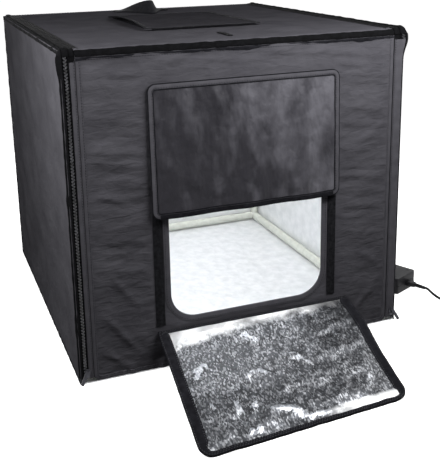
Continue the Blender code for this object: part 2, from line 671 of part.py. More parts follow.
def make_light_bar(name, y):
    """Aluminium channel with a board of LEDs, hooked on the top side tubes by its end brackets."""
    body = name + "_light_bar"
    foot_low = TENT_HEIGHT - TUBE_INSET - TUBE_RADIUS - GAP - HOOK_THICKNESS
    top = foot_low - GAP
    low, wall, half = top - BAR_HEIGHT, BAR_WALL, BAR_WIDTH / 2
    reach = HALF_WIDTH - FABRIC - BAR_END_MARGIN - BAR_CAP_LENGTH
    section = [(y - half, low), (y - half + wall, low), (y - half + wall, top - wall),
               (y + half - wall, top - wall), (y + half - wall, low), (y + half, low), (y + half, top),
               (y - half, top)]
    housing = add_plate(bmesh.new(), [section], "x", -reach, reach)
    piece(name + "_light_housing", housing, "aluminium", body)
    board_top = top - wall - GAP
    board_low = board_top - BOARD_THICKNESS
    inside = half - wall - GAP
    board = piece(name + "_light_board", add_box(bmesh.new(), (-reach, y - inside, board_low),
                                                 (reach, y + inside, board_top)), "board", body)
    chips, led_half = bmesh.new(), LED_SIZE / 2
    for index in range(LED_COUNT):
        x = -reach + 2 * reach * (index + 0.5) / LED_COUNT
        add_box(chips, (x - led_half, y - led_half, board_low - LED_HEIGHT),
                (x + led_half, y + led_half, board_low + BOARD_THICKNESS / 2))
    combine(board, chips, name + "_light_chips_guide", "UNION", body)
    for side_name, side in (("left", -1), ("right", 1)):
        bracket = add_plate(bmesh.new(), [bracket_outline(side, reach + GAP, low)], "y", y - half, y + half)
        piece("%s_light_%s_bracket" % (name, side_name), bracket, "white_plastic", body)


def bracket_outline(side, cap_start, cap_low):
    """Bracket seen along Y: a hook under a side tube, a foot over the bar and a cap on its end."""
    tube_x, tube_z = HALF_WIDTH - TUBE_INSET, TENT_HEIGHT - TUBE_INSET
    inner = TUBE_RADIUS + GAP
    outer = inner + HOOK_THICKNESS

    def arc(radius, start, end):
        angles = [math.radians(start + (end - start) * step / HOOK_STEPS) for step in range(HOOK_STEPS + 1)]
        return [(tube_x + radius * math.cos(a), tube_z + radius * math.sin(a)) for a in angles]

    foot_angle = 180 + math.degrees(math.asin(inner / outer))
    foot = [(tube_x - outer - HOOK_FOOT, tube_z - inner), (tube_x - outer - HOOK_FOOT, tube_z - outer),
            (cap_start, tube_z - outer), (cap_start, cap_low), (cap_start + BAR_CAP_LENGTH, cap_low),
            (cap_start + BAR_CAP_LENGTH, tube_z - outer)]
    outline = arc(outer, HOOK_TIP_DEG, foot_angle) + foot + arc(outer, 270, HOOK_END_DEG)
    outline += arc(inner, HOOK_END_DEG, HOOK_TIP_DEG)
    return [(side * x, z) for x, z in outline]


def make_adapter():
    """Two-part case with its board, inlet and outlet, turned and set against the right wall."""
    radius, width, length, wall = ADAPTER_RADIUS, ADAPTER_WIDTH, ADAPTER_LENGTH, ADAPTER_WALL
    rotation = Matrix.Rotation(math.radians(ADAPTER_TURN_DEG), 4, "Z")
    rear = rotation @ Vector((radius, length - radius, 0))
    frame = Matrix.Translation((HALF_WIDTH + GAP + radius - rear.x, ADAPTER_FRONT_Y, 0)) @ rotation
    seam = ADAPTER_HEIGHT / 2
    base = put(frame, "adapter_base", adapter_shell(0, seam - GAP / 2, 1), "black_plastic")
    lid = put(frame, "adapter_lid", adapter_shell(ADAPTER_HEIGHT, seam + GAP / 2, -1), "black_plastic")
    inlet = (INLET_WIDTH / 2 + GAP, INLET_HEIGHT / 2 + GAP)
    for case in (base, lid):
        slot = add_box(bmesh.new(), (INLET_ALONG - inlet[0], -CUT_OVERRUN, INLET_LEVEL - inlet[1]),
                       (INLET_ALONG + inlet[0], wall + CUT_OVERRUN, INLET_LEVEL + inlet[1]))
        combine(case, slot, case.name + "_inlet_guide", "DIFFERENCE")
        hole = [circle((width / 2, y, seam), OUTLET_DIAMETER / 2 + GAP, unit("x"), unit("z"), TUBE_SIDES)
                for y in (length - wall - CUT_OVERRUN, length + CUT_OVERRUN)]
        combine(case, add_loft(bmesh.new(), hole), case.name + "_outlet_guide", "DIFFERENCE")
    side = wall + ADAPTER_BOARD_MARGIN
    near, far = INLET_DEPTH + side, length - side - OUTLET_LENGTH
    post = ADAPTER_POST
    posts = bmesh.new()
    for x in (side, width - side - post):
        for y in (near, far - post):
            add_box(posts, (x, y, wall / 2), (x + post, y + post, wall + ADAPTER_BOARD_LIFT))
    combine(base, posts, "adapter_posts_guide", "UNION")
    board_low = wall + ADAPTER_BOARD_LIFT + GAP
    board_top = board_low + BOARD_THICKNESS
    board = put(frame, "adapter_board", add_box(bmesh.new(), (side, near, board_low),
                                                (width - side, far, board_top)), "board")
    combine(board, components(board_low + BOARD_THICKNESS / 2), "adapter_components_guide", "UNION")
    make_inlet(frame)
    tail = length - OUTLET_LENGTH
    bush = [circle((width / 2, y, seam), diameter / 2, unit("x"), unit("z"), TUBE_SIDES)
            for y, diameter in ((length, OUTLET_DIAMETER), (length, OUTLET_BORE), (tail, OUTLET_BORE),
                                (tail, OUTLET_DIAMETER))]
    put(frame, "adapter_outlet_bush", add_loft(bmesh.new(), bush, closed=True), "lead_jacket")
    return frame


def adapter_shell(outer, rim, inward):
    """Half of the case: a tray from its outer face to its rim, with its wall and a chamfered edge."""
    def ring(level, inset):
        corner = max(ADAPTER_RADIUS - inset, ADAPTER_RADIUS / 3)
        outline = rounded(inset, ADAPTER_WIDTH - inset, inset, ADAPTER_LENGTH - inset, corner, 3)
        return [Vector((a, b, level)) for a, b in outline]

    return add_loft(bmesh.new(), [ring(outer, ADAPTER_CHAMFER), ring(outer + inward * ADAPTER_CHAMFER, 0),
                                  ring(rim, 0), ring(rim, ADAPTER_WALL),
                                  ring(outer + inward * ADAPTER_WALL, ADAPTER_WALL)])


def put(frame, name, bm, look):
    """A piece of the adapter or of its lead, modelled square and then set in the adapter's place."""
    item = piece(name, bm, look)
    item.location = frame.translation
    item.rotation_euler = frame.to_euler()
    return item


def components(level):
    """Transformer, heat sink and capacitors that stand on the adapter's board, from a level up."""
    room = ADAPTER_HEIGHT - ADAPTER_WALL - GAP - level
    width, length = ADAPTER_WIDTH, ADAPTER_LENGTH
    bm = bmesh.new()
    for low_x, high_x, low_y, high_y, height in BLOCK_SHARES:
        add_box(bm, (width * low_x, length * low_y, level), (width * high_x, length * high_y,
                                                             level + room * height))
    for x, y, radius, height in CAPACITOR_SHARES:
        ends = [Vector((width * x, length * y, z)) for z in (level, level + room * height)]
        add_loft(bm, [circle(end, width * radius, unit("x"), unit("y"), TUBE_SIDES) for end in ends])
    return bm


def flat_ring(centre_x, y, centre_z, width, height, radius):
    """Ring of points across the adapter's length, the same number for any shape."""
    outline = rounded(-width / 2, width / 2, -height / 2, height / 2, radius, 3)
    return [Vector((centre_x + a, y, centre_z + b)) for a, b in outline]


def make_inlet(frame):
    """Socket insert in the end wall, with the recess that the lead's nose goes into."""
    x, z, recess = INLET_ALONG, INLET_LEVEL, NOSE_LENGTH + GAP
    corner = NOSE_HEIGHT * ROUND_SHARE / 2
    width, height = NOSE_WIDTH + 2 * GAP, NOSE_HEIGHT + 2 * GAP
    rings = [flat_ring(x, INLET_DEPTH, z, INLET_WIDTH, INLET_HEIGHT, INLET_CORNER),
             flat_ring(x, 0, z, INLET_WIDTH, INLET_HEIGHT, INLET_CORNER),
             flat_ring(x, 0, z, width, height, corner),
             flat_ring(x, recess, z, width, height, corner)]
    put(frame, "adapter_inlet", add_loft(bmesh.new(), rings), "black_plastic")


def make_connector(frame):
    """Lead's own socket: nose, grip and tapered relief; gives the relief's tip and its direction."""
    x, z = INLET_ALONG, INLET_LEVEL
    start, end = RELIEF_START_DIAMETER, RELIEF_END_DIAMETER
    grip_end = -GAP - GRIP_LENGTH
    tip = grip_end - RELIEF_LENGTH
    round_corner = ROUND_SHARE / 2
    rings = [flat_ring(x, NOSE_LENGTH - GAP, z, NOSE_WIDTH, NOSE_HEIGHT, NOSE_HEIGHT * round_corner),
             flat_ring(x, -GAP, z, NOSE_WIDTH, NOSE_HEIGHT, NOSE_HEIGHT * round_corner),
             flat_ring(x, -GAP, z, GRIP_WIDTH, GRIP_HEIGHT, GRIP_CORNER),
             flat_ring(x, grip_end + GRIP_TAPER, z, GRIP_WIDTH, GRIP_HEIGHT, GRIP_CORNER),
             flat_ring(x, grip_end, z, start, start, start * round_corner),
             flat_ring(x, tip, z, end, end, end * round_corner)]
    put(frame, "mains_connector", add_loft(bmesh.new(), rings), "lead_jacket")
    return frame @ Vector((x, tip, z)), (frame.to_3x3() @ Vector((0, -1, 0))).normalized()


def smooth_route(points, count):
    """Even points along the rounded curve through a cord's own points, whose end stretches stay straight."""
    places = np.array(points)
    knots = np.concatenate(([0.0], np.cumsum(np.linalg.norm(np.diff(places, axis=0), axis=1) ** 0.5)))
    slopes = np.gradient(places, knots, axis=0)
    fine = np.linspace(knots[1], knots[-2], count * 20)
    cell = np.clip(np.searchsorted(knots, fine, side="right") - 1, 0, len(knots) - 2)
    span = (knots[cell + 1] - knots[cell])[:, None]
    t = ((fine - knots[cell])[:, None]) / span
    curve = ((2 * t ** 3 - 3 * t ** 2 + 1) * places[cell] + (t ** 3 - 2 * t ** 2 + t) * span * slopes[cell]
             + (3 * t ** 2 - 2 * t ** 3) * places[cell + 1] + (t ** 3 - t ** 2) * span * slopes[cell + 1])
    run = np.concatenate(([0.0], np.cumsum(np.linalg.norm(np.diff(curve, axis=0), axis=1))))
    even = np.linspace(0.0, run[-1], count - 2)
    middle = np.stack([np.interp(even, run, curve[:, k]) for k in range(3)], axis=1)
    return np.vstack([places[:1], middle, places[-1:]])


def cord_tube(name, points, resolution):
    """Round cord through points, with flat closed ends."""
    curve = bpy.data.curves.new(name, "CURVE")
    curve.dimensions = "3D"
    curve.bevel_depth = LEAD_DIAMETER / 2
    curve.bevel_resolution = resolution
    curve.use_fill_caps = True
    spline = curve.splines.new("POLY")
    spline.points.add(len(points) - 1)
    for target, point in zip(spline.points, points):
        target.co = (*point, 1.0)
    item = bpy.data.objects.new(name, curve)
    bpy.context.collection.objects.link(item)
    curve.materials.append(finish("lead_jacket"))
    return item


def coil_points():
    """Loops that spiral in on the floor, climb a layer, spiral out and roll down outside.

    The turn count grows evenly. The radius falls by one strand per turn and then rises again, and the
    height goes up one strand in the half turn where it reverses.
    """
    pitch = LEAD_DIAMETER + COIL_STRAND_GAP
    layer = COIL_TURNS_PER_LAYER
    floor = LEAD_DIAMETER / 2 + GAP / 2
    steps = int(round((2 * layer + COIL_TAIL_TURN) * COIL_POINTS_PER_TURN))
    turns = np.arange(steps + 1) / COIL_POINTS_PER_TURN
    climb = ease((turns - layer) / 0.5 + 0.5)
    tail = ease((turns - 2 * layer) / COIL_TAIL_TURN)
    strands = np.abs(np.minimum(turns, 2 * layer) - layer) + COIL_TAIL_SHARE * tail
    radius = COIL_INNER_RADIUS + pitch * strands
    height = floor + pitch * climb + (PLUG_THICKNESS / 2 - floor - pitch) * tail
    angle = math.tau * turns - math.pi / 2
    return np.stack([COIL_CENTRE[0] + radius * np.cos(angle), COIL_CENTRE[1] + radius * np.sin(angle),
                     height], axis=1)


def ease(share):
    """Soft step from 0 to 1."""
    share = np.clip(share, 0.0, 1.0)
    return share * share * (3 - 2 * share)


def least_gap(points):
    """Least distance between strands of the coil that are half a turn or more apart, less the cord."""
    apart = COIL_POINTS_PER_TURN // 2
    best = np.inf
    for index in range(len(points) - apart):
        rest = points[index + apart:]
        starts, steps = rest[:-1], np.diff(rest, axis=0)
        if len(steps) == 0:
            continue
        share = np.sum((points[index] - starts) * steps, axis=1) / np.sum(steps * steps, axis=1)
        nearest = starts + np.clip(share, 0, 1)[:, None] * steps
        best = min(best, np.linalg.norm(nearest - points[index], axis=1).min())
    return best - LEAD_DIAMETER


def route_length(points):
    """Length along a line of points."""
    return float(np.linalg.norm(np.diff(np.array(points), axis=0), axis=1).sum())


def make_lead(frame):
    """Mains lead: connector, free stretch, coil and wall plug."""
    tip, out = make_connector(frame)
    coil = coil_points()
    first = Vector(coil[0])
    into = Vector((1, 0, 0))
    straight = LEAD_DIAMETER
    start = tip + out * GAP
    end = first - into * (straight + GAP)
    route = [start, start + out * straight] + [Vector(p) for p in LEAD_ROUTE] + [end - into * straight, end]
    lead = smooth_route(route, LEAD_POINTS)
    cord_tube("mains_lead", lead, 2)
    last = Vector(coil[-1])
    away = Vector((0, 1, 0))
    coil = np.vstack([first - into * straight, coil, last + away * straight])
    cord_tube("mains_lead_coil", coil, 1)
    make_wall_plug(last + away * (straight + GAP))
    print("coil least self-gap mm", round(least_gap(coil) * 1000, 3))
    print("lead length m", round(route_length(lead) + route_length(coil), 4), "of", LEAD_LENGTH)


def make_wall_plug(start):
    """Flat two-pin plug that lies on the floor beside the coil."""
    def ring(along, width, height, corner):
        outline = rounded(-width / 2, width / 2, -height / 2, height / 2, corner, 3)
        return [Vector((start.x + a, start.y + along, PLUG_THICKNESS / 2 + b)) for a, b in outline]

    end = PLUG_RELIEF_LENGTH + PLUG_LENGTH
    relief, root = RELIEF_END_DIAMETER, RELIEF_START_DIAMETER
    neck = PLUG_WIDTH * PLUG_NECK_SHARE
    rings = [ring(0, relief, relief, relief * ROUND_SHARE / 2),
             ring(PLUG_RELIEF_LENGTH, root, root, root * ROUND_SHARE / 2),
             ring(PLUG_RELIEF_LENGTH + PLUG_SHOULDER, neck, PLUG_THICKNESS, PLUG_CORNER),
             ring(end - PLUG_HEAD, PLUG_WIDTH, PLUG_THICKNESS, PLUG_CORNER),
             ring(end, PLUG_WIDTH, PLUG_THICKNESS, PLUG_CORNER)]
    plug = piece("wall_plug", add_loft(bmesh.new(), rings), "lead_jacket")
    pins, radius = bmesh.new(), PIN_DIAMETER / 2
    for side in (-1, 1):
        base = Vector((start.x + side * PIN_SPACING / 2, start.y + end, PLUG_THICKNESS / 2))
        sections = ((-radius, radius), (PIN_LENGTH - radius / 2, radius), (PIN_LENGTH, radius / 2))
        add_loft(pins, [circle(base + Vector((0, y, 0)), r, unit("x"), unit("z"), TUBE_SIDES)
                        for y, r in sections])
    combine(plug, pins, "wall_plug_pins_guide", "UNION")


def main():
    """Model the whole part."""
    clear_scene()
    make_carriers()
    make_tubes()
    make_corner_connectors()
    make_walls()
    make_zips()
    make_top()
    make_handle()
    make_top_flap()
    make_door()
    make_upper_flap()
    make_lower_flap()
    make_light_bar("front", FRONT_BAR_Y)
    make_light_bar("rear", REAR_BAR_Y)
    make_lead(make_adapter())


main()
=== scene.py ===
"""Dressed scene of a folding light tent: a cube of black cloth on tubes, with zips, flaps, lights and an adapter.

Metres, +Z up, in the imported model's frame. The origin is the centre of the tent's footprint, the front faces -Y.

Cloth is drawn flat first, as (u, v, lift): two distances on the cloth and a height above its face. A laying
function then carries those points to their place, so a panel, its binding and its stitches follow the same folds.
"""

from __future__ import annotations

import functools
import json
import logging
import math
import sys
from collections.abc import Callable, Sequence
from dataclasses import dataclass, field, replace
from enum import Enum

import bpy
import numpy as np
from mathutils import Matrix, Vector
from numpy.typing import NDArray

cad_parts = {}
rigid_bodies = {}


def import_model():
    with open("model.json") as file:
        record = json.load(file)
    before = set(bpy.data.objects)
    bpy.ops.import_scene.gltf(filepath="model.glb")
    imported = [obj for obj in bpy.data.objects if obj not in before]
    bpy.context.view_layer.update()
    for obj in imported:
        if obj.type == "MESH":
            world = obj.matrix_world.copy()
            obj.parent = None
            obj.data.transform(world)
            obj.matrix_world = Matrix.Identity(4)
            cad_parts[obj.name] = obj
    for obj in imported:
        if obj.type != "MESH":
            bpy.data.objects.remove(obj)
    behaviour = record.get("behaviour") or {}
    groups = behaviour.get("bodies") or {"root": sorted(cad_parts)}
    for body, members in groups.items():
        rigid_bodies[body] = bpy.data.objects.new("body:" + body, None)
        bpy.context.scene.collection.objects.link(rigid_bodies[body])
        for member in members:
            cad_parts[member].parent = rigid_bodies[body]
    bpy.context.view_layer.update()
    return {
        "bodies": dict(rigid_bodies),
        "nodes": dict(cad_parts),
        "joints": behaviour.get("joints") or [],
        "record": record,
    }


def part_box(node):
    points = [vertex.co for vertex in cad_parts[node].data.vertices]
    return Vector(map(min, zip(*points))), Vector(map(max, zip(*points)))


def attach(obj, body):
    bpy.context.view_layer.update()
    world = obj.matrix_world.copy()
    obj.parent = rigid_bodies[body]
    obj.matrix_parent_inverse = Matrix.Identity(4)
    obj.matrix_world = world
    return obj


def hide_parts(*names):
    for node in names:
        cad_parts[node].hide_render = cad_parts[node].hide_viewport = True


Array = NDArray[np.float64]
Faces = NDArray[np.int64]
Lay = Callable[[Array], Array]
Point = tuple[float, float, float]
Socket = bpy.types.NodeSocket
Tree = bpy.types.NodeTree
Item = bpy.types.Object

LOG = logging.getLogger("light_tent")
SMOOTH_ANGLE = math.radians(38)
# The wave node's bands repeat every pi over ten times its scale: this over a pitch in millimetres is its scale
WAVE_SCALE = math.pi / 10 * 1000
# Length, width and height of a stitch, of a thicker one, and the distance between two
STITCH = (0.0030, 0.0008, 0.0006)
THICK_STITCH = (0.0030, 0.0009, 0.0007)
STITCH_PITCH = 0.0045
SIDES = (("left", -1), ("right", 1))
X_AXIS, Y_AXIS, Z_AXIS = np.eye(3)


@dataclass(frozen=True)
class Tent:
    """Outer sizes of the cube and the places that follow from them."""

    width: float = 0.610
    depth: float = 0.655
    height: float = 0.560
    cloth: float = 0.0016
    gap: float = 0.0003
    tube_diameter: float = 0.019
    zip_tape: float = 0.022

    @property
    def half_width(self) -> float:
        """Half of the width."""
        return self.width / 2

    @property
    def front(self) -> float:
        """Y of the front face."""
        return -self.depth / 2

    @property
    def back(self) -> float:
        """Y of the back face."""
        return self.depth / 2

    @property
    def inset(self) -> float:
        """Distance from an outer face to the centre line of the tube behind it."""
        return self.cloth + self.gap + self.tube_diameter / 2

    @property
    def roll(self) -> float:
        """Length of the quarter turn that the cover makes round the front tube."""
        return self.inset * math.pi / 2

    @property
    def roll_height(self) -> float:
        """Height at which the cover starts to roll over the front tube."""
        return self.height - self.inset

    @property
    def cover_half(self) -> float:
        """Half of the width between the two zips."""
        return self.half_width - self.zip_tape - self.gap


TENT = Tent()


# ---------------------------------------------------------------------------------------------------------------
# Surfaces


@dataclass
class Surface:
    """Points with their faces, cloth coordinates and a finish number for each face."""

    points: Array
    quads: Faces
    tris: Faces = field(default_factory=lambda: np.zeros((0, 3), np.int64))
    flat: Array | None = None
    quad_finish: Faces | None = None
    tri_finish: Faces | None = None

    def __post_init__(self) -> None:
        """Fill in what was left out: cloth coordinates from the first two axes, and the first finish."""
        if self.flat is None:
            self.flat = self.points[:, :2].copy()
        for name, faces in (("quad_finish", self.quads), ("tri_finish", self.tris)):
            if getattr(self, name) is None:
                setattr(self, name, np.zeros(len(faces), np.int64))

    def laid(self, lay: Lay) -> Surface:
        """The same surface carried to its place by a function of its (u, v, lift) points."""
        return replace(self, points=lay(self.points)).outward()

    def outward(self) -> Surface:
        """The same surface, every face turned round if it holds a negative volume.

        The volume is the sum over triangles of the box product of their corners, divided by six.

        Returns:
            The surface.
        """
        triangles = np.concatenate([self.quads[:, [0, 1, 2]], self.quads[:, [0, 2, 3]], self.tris])
        a, b, c = (self.points[triangles[:, k]] for k in range(3))
        if np.einsum("ij,ij->i", a, np.cross(b, c)).sum() >= 0:
            return self
        return replace(self, quads=self.quads[:, ::-1], tris=self.tris[:, ::-1])

    def painted(self, number: int) -> Surface:
        """The same surface, all its quads in one finish."""
        return replace(self, quad_finish=np.full(len(self.quads), number))

    def unrolled(self, run: Array, across: Array) -> Surface:
        """The same skin with cloth coordinates along and across it, and zero for the middles of its ends.

        Args:
            run: distance along of each ring.
            across: distance across of each point of a ring, for all rings or ring by ring.

        Returns:
            The surface.
        """
        flat = np.stack(np.broadcast_arrays(run[:, None], across), axis=-1).reshape(-1, 2)
        return replace(self, flat=np.concatenate([flat, np.zeros((len(self.points) - len(flat), 2))]))


def joined(*parts: Surface) -> Surface:
    """Several surfaces as one, each with its own points.

    Args:
        parts: the surfaces.

    Returns:
        The surface.
    """
    starts = np.cumsum([0] + [len(part.points) for part in parts[:-1]])
    rows = {name: np.concatenate([getattr(part, name) for part in parts])
            for name in ("points", "flat", "quad_finish", "tri_finish")}
    faces = {name: np.concatenate([getattr(part, name) + start for part, start in zip(parts, starts)])
             for name in ("quads", "tris")}
    return Surface(**rows, **faces)


def grid_quads(rows: int, columns: int, wrap: bool) -> Faces:
    """Corner numbers of the cells of a grid stored row by row, whose rows may be rings.

    Args:
        rows: number of rows.
        columns: points in a row.
        wrap: whether each row is a ring.

    Returns:
        Four corner numbers for each cell.
    """
    near = np.arange(columns if wrap else columns - 1)
    far = (near + 1) % columns
    down = np.arange(rows - 1)[:, None]
    cells = np.stack([down * columns + near, down * columns + far, (down + 1) * columns + far,
                      (down + 1) * columns + near], axis=-1)
    return cells.reshape(-1, 4)


def skin(rings: Array, closed: bool = False) -> Surface:
    """Closed surface through rings of points, with a fan to the middle of each end ring.

    Args:
        rings: array of rings by points by three.
        closed: whether the last ring joins the first instead.

    Returns:
        The closed surface.
    """
    count, around = rings.shape[:2]
    points, quads = rings.reshape(-1, 3), grid_quads(count, around, True)
    first = np.arange(around)
    second, last = (first + 1) % around, (count - 1) * around
    if closed:
        seam = np.stack([last + first, last + second, second, first], axis=-1)
        return Surface(points, np.concatenate([quads, seam])).outward()
    centre = np.full(around, len(points))
    fans = [np.stack([second, first, centre], axis=-1),
            np.stack([last + first, last + second, centre + 1], axis=-1)]
    ends = [rings[0].mean(axis=0), rings[-1].mean(axis=0)]
    return Surface(np.concatenate([points, ends]), quads, np.concatenate(fans)).outward()


def turned(start: Sequence[float], along: Array, side: Array, places: Sequence[float], radii: Sequence[float],
           sides: int, closed: bool = False) -> Surface:
    """Surface of revolution: a ring of each radius at each place along an axis.

    Args:
        start: point on the axis.
        along: its direction.
        side: direction of the first point of each ring.
        places: distance of each ring along the axis.
        radii: its radius.
        sides: points in a ring.
        closed: whether the last ring joins the first.

    Returns:
        The closed surface.
    """
    ring = circle(sides) @ np.array([side, np.cross(along, side)])
    rings = np.array(start) + along * np.array(places)[:, None, None] + ring * np.array(radii)[:, None, None]
    return skin(rings, closed)


def sheet_of(outer: Array, thickness: float, wrap: bool) -> Surface:
    """Closed thin cloth from the grid of its outer face, in flat cloth points.

    The inner face is the same grid lowered by the thickness, and takes the second finish. A strip closes each
    open side.

    Args:
        outer: array of rows by columns by (u, v, lift).
        thickness: thickness of the cloth.
        wrap: whether each row is a ring.

    Returns:
        The closed cloth.
    """
    rows, columns = outer.shape[:2]
    points = np.concatenate([outer.reshape(-1, 3), (outer - Z_AXIS * thickness).reshape(-1, 3)])
    half = rows * columns
    face = grid_quads(rows, columns, wrap)
    first = np.arange(columns if wrap else columns - 1)
    second, last = (first + 1) % columns, (rows - 1) * columns
    rims = [(second, first), (last + first, last + second)]
    if not wrap:
        low = np.arange(rows - 1) * columns
        high, end = low + columns, columns - 1
        rims += [(low, high), (high + end, low + end)]
    rim = np.concatenate([np.stack([a, b, half + b, half + a], axis=-1) for a, b in rims])
    finish = np.repeat([0, 1, 0], [len(face), len(face), len(rim)])
    return Surface(points, np.concatenate([face, half + face[:, ::-1], rim]), quad_finish=finish)


def disc(outline: Array, around: int, rings: int) -> Surface:
    """Cloth with no hole, centred on zero lift: the rings of both faces end in a fan to the middle.

    Args:
        outline: its anticlockwise convex outline.
        around: number of evenly turned rays.
        rings: number of rings.

    Returns:
        The closed cloth.
    """
    centre = outline.mean(axis=0)
    grid = holed_grid(centre + (outline - centre) * 0.02, outline, around, rings, TENT.cloth / 2)
    rows, columns = grid.shape[:2]
    made = sheet_of(grid, TENT.cloth, True)
    first = np.arange(columns)
    second = (first + 1) % columns
    inner_rim = 2 * (rows - 1) * columns + first
    middle = grid[0].mean(axis=0)
    middles = np.stack([middle, middle - Z_AXIS * TENT.cloth])
    hub, half = np.full(columns, len(made.points)), rows * columns
    fans = np.concatenate([np.stack([second, first, hub], axis=-1),
                           np.stack([half + first, half + second, hub + 1], axis=-1)])
    return Surface(np.concatenate([made.points, middles]), np.delete(made.quads, inner_rim, axis=0), fans,
                   quad_finish=np.delete(made.quad_finish, inner_rim), tri_finish=np.repeat([0, 1], columns))


def circle(count: int) -> Array:
    """Even points on the unit circle."""
    angle = np.linspace(0, math.tau, count + 1)[:-1]
    return np.stack([np.cos(angle), np.sin(angle)], axis=-1)


def rounded(size: Sequence[float], radius: float, steps: int, middle: Sequence[float] = (0.0, 0.0)) -> Array:
    """Outline of a rectangle with round corners, anticlockwise from its right side.

    Each corner is a quarter circle, its centre one radius inside both sides.

    Args:
        size: width and height.
        radius: radius of the corners.
        steps: points in each quarter, less one.
        middle: middle of the rectangle.

    Returns:
        Array of points by two.
    """
    angles = (np.linspace(0, math.pi / 2, steps + 1) + np.arange(4)[:, None] * math.pi / 2).ravel()
    signs = np.repeat([[1, 1], [-1, 1], [-1, -1], [1, -1]], steps + 1, axis=0)
    corners = np.array(middle) + signs * (np.array(size) / 2 - radius)
    return corners + radius * np.stack([np.cos(angles), np.sin(angles)], axis=-1)


def upright(across: float, run: Array) -> Array:
    """Straight line through the given runs, at one distance across."""
    return np.stack([np.full(len(run), across), run], axis=-1)


def level_line(across: Array, run: float) -> Array:
    """Straight line through the given distances across, at one run."""
    return np.stack([across, np.full(len(across), run)], axis=-1)


def run_of(line: Array) -> Array:
    """Distance along a line at each of its points."""
    return np.concatenate([[0.0], np.cumsum(np.linalg.norm(np.diff(line, axis=0), axis=1))])


def evenly(line: Array, pitch: float, closed: bool = False) -> Array:
    """Points along a line, at the pitch nearest to the wished one that fits a whole number of times.

    Args:
        line: array of points by any number of axes.
        pitch: wished distance between points.
        closed: whether the last point joins the first.

    Returns:
        The even points.
    """
    line = np.concatenate([line, line[:1]]) if closed else line
    run = run_of(line)
    count = max(2, int(round(run[-1] / pitch)) + (0 if closed else 1))
    places = np.linspace(0, run[-1], count + 1)[:-1] if closed else np.linspace(0, run[-1], count)
    return np.stack([np.interp(places, run, axis) for axis in line.T], axis=1)


def sideways(line: Array, closed: bool) -> tuple[Array, Array]:
    """Unit direction along a flat line, from the point before to the point after, and the one to its left.

    Args:
        line: array of points by two.
        closed: whether the line is a ring.

    Returns:
        Both directions at each point.
    """
    along = np.roll(line, -1, axis=0) - np.roll(line, 1, axis=0) if closed else np.gradient(line, axis=0)
    along = along / np.linalg.norm(along, axis=1, keepdims=True)
    return along, np.stack([-along[:, 1], along[:, 0]], axis=-1)


def band(line: Array, width: float | Array, low: float, high: float, closed: bool = True,
         corner: float = 0.5) -> Surface:
    """Flat band to the left of a line, with a rounded section, in flat cloth points.

    Each section is a rounded rectangle carried along the line: across it goes left, and up it is the lift.

    Args:
        line: array of points by two.
        width: width of the band.
        low: lift of its underside.
        high: lift of its face.
        closed: whether the line is a ring.
        corner: radius of the section's corners as a share of half of its thickness.

    Returns:
        The closed band.
    """
    section = rounded((width, high - low), corner * (high - low) / 2, 2, (width / 2, (low + high) / 2))
    place = line[:, None] + sideways(line, closed)[1][:, None] * section[:, :1]
    rings = np.concatenate([place, np.broadcast_to(section[:, 1:], (*place.shape[:2], 1))], axis=-1)
    return skin(rings, closed).unrolled(run_of(line), section.sum(axis=1))


def beads(line: Array, size: Sequence[float], lift: float, offset: float = 0.0, closed: bool = False,
          slant: float = 0.0) -> Surface:
    """A row of small rounded beads at the points of a line, such as stitches or teeth, in flat cloth points.

    Each bead is two rings of six points with a point at each end, stretched to its size along, across and up.

    Args:
        line: array of bead places by two.
        size: length along the line, width across it and height of a bead.
        lift: height of the beads' middles.
        offset: distance of the row to the left of the line.
        closed: whether the line is a ring.
        slant: turn of each bead on the cloth, in radians.

    Returns:
        All beads as one surface.
    """
    rings = [np.insert(circle(6), 0, share, axis=1) for share in (-0.6, 0.6)]
    template = np.concatenate([[[-1, 0, 0]], *rings, [[1, 0, 0]]]) * np.array(size) / 2
    first = np.arange(6)
    second = (first + 1) % 6
    quads = np.stack([1 + first, 1 + second, 7 + second, 7 + first], axis=-1)
    tris = np.concatenate([np.stack([first * 0, 1 + second, 1 + first], axis=-1),
                           np.stack([first * 0 + 13, 7 + first, 7 + second], axis=-1)])
    along, left = sideways(line, closed)
    slanted = along * math.cos(slant) + left * math.sin(slant)
    crossed = left * math.cos(slant) - along * math.sin(slant)
    flat = (line + left * offset)[:, None] + slanted[:, None] * template[:, :1] + crossed[:, None] * template[:, 1:2]
    up = np.broadcast_to(lift + template[:, 2:], (*flat.shape[:2], 1))
    starts = np.arange(len(line))[:, None, None] * len(template)
    return Surface(np.concatenate([flat, up], axis=-1).reshape(-1, 3), (starts + quads).reshape(-1, 4),
                   (starts + tris).reshape(-1, 3))


def stitched(line: Array, lift: float, offset: float = 0.0, closed: bool = False,
             size: Sequence[float] = STITCH, pitch: float = STITCH_PITCH) -> Surface:
    """Row of stitches at an even pitch beside a line, as beads makes them."""
    return beads(evenly(line, pitch, closed), size, lift, offset, closed)


def ray_hits(outline: Array, centre: Array, angles: Array) -> Array:
    """Where rays from a centre at the given angles meet an anticlockwise convex outline.

    For each side the ray's distance is the side's distance from the centre over the cosine between the ray and
    the side's outward normal, and the nearest one in front counts.

    Args:
        outline: array of points by two.
        centre: start of the rays, inside the outline.
        angles: angles of the rays.

    Returns:
        One point for each ray.
    """
    start = outline - centre
    step = np.roll(start, -1, axis=0) - start
    normal = np.stack([step[:, 1], -step[:, 0]], axis=-1)
    keep = np.linalg.norm(normal, axis=1) > 1e-9
    start, normal = start[keep], normal[keep]
    distance = np.einsum("ij,ij->i", start, normal)
    ray = np.stack([np.cos(angles), np.sin(angles)], axis=-1)
    facing = ray @ normal.T
    reach = np.where(facing > 1e-9, distance / np.where(facing > 1e-9, facing, 1), np.inf).min(axis=1)
    return centre + ray * reach[:, None]


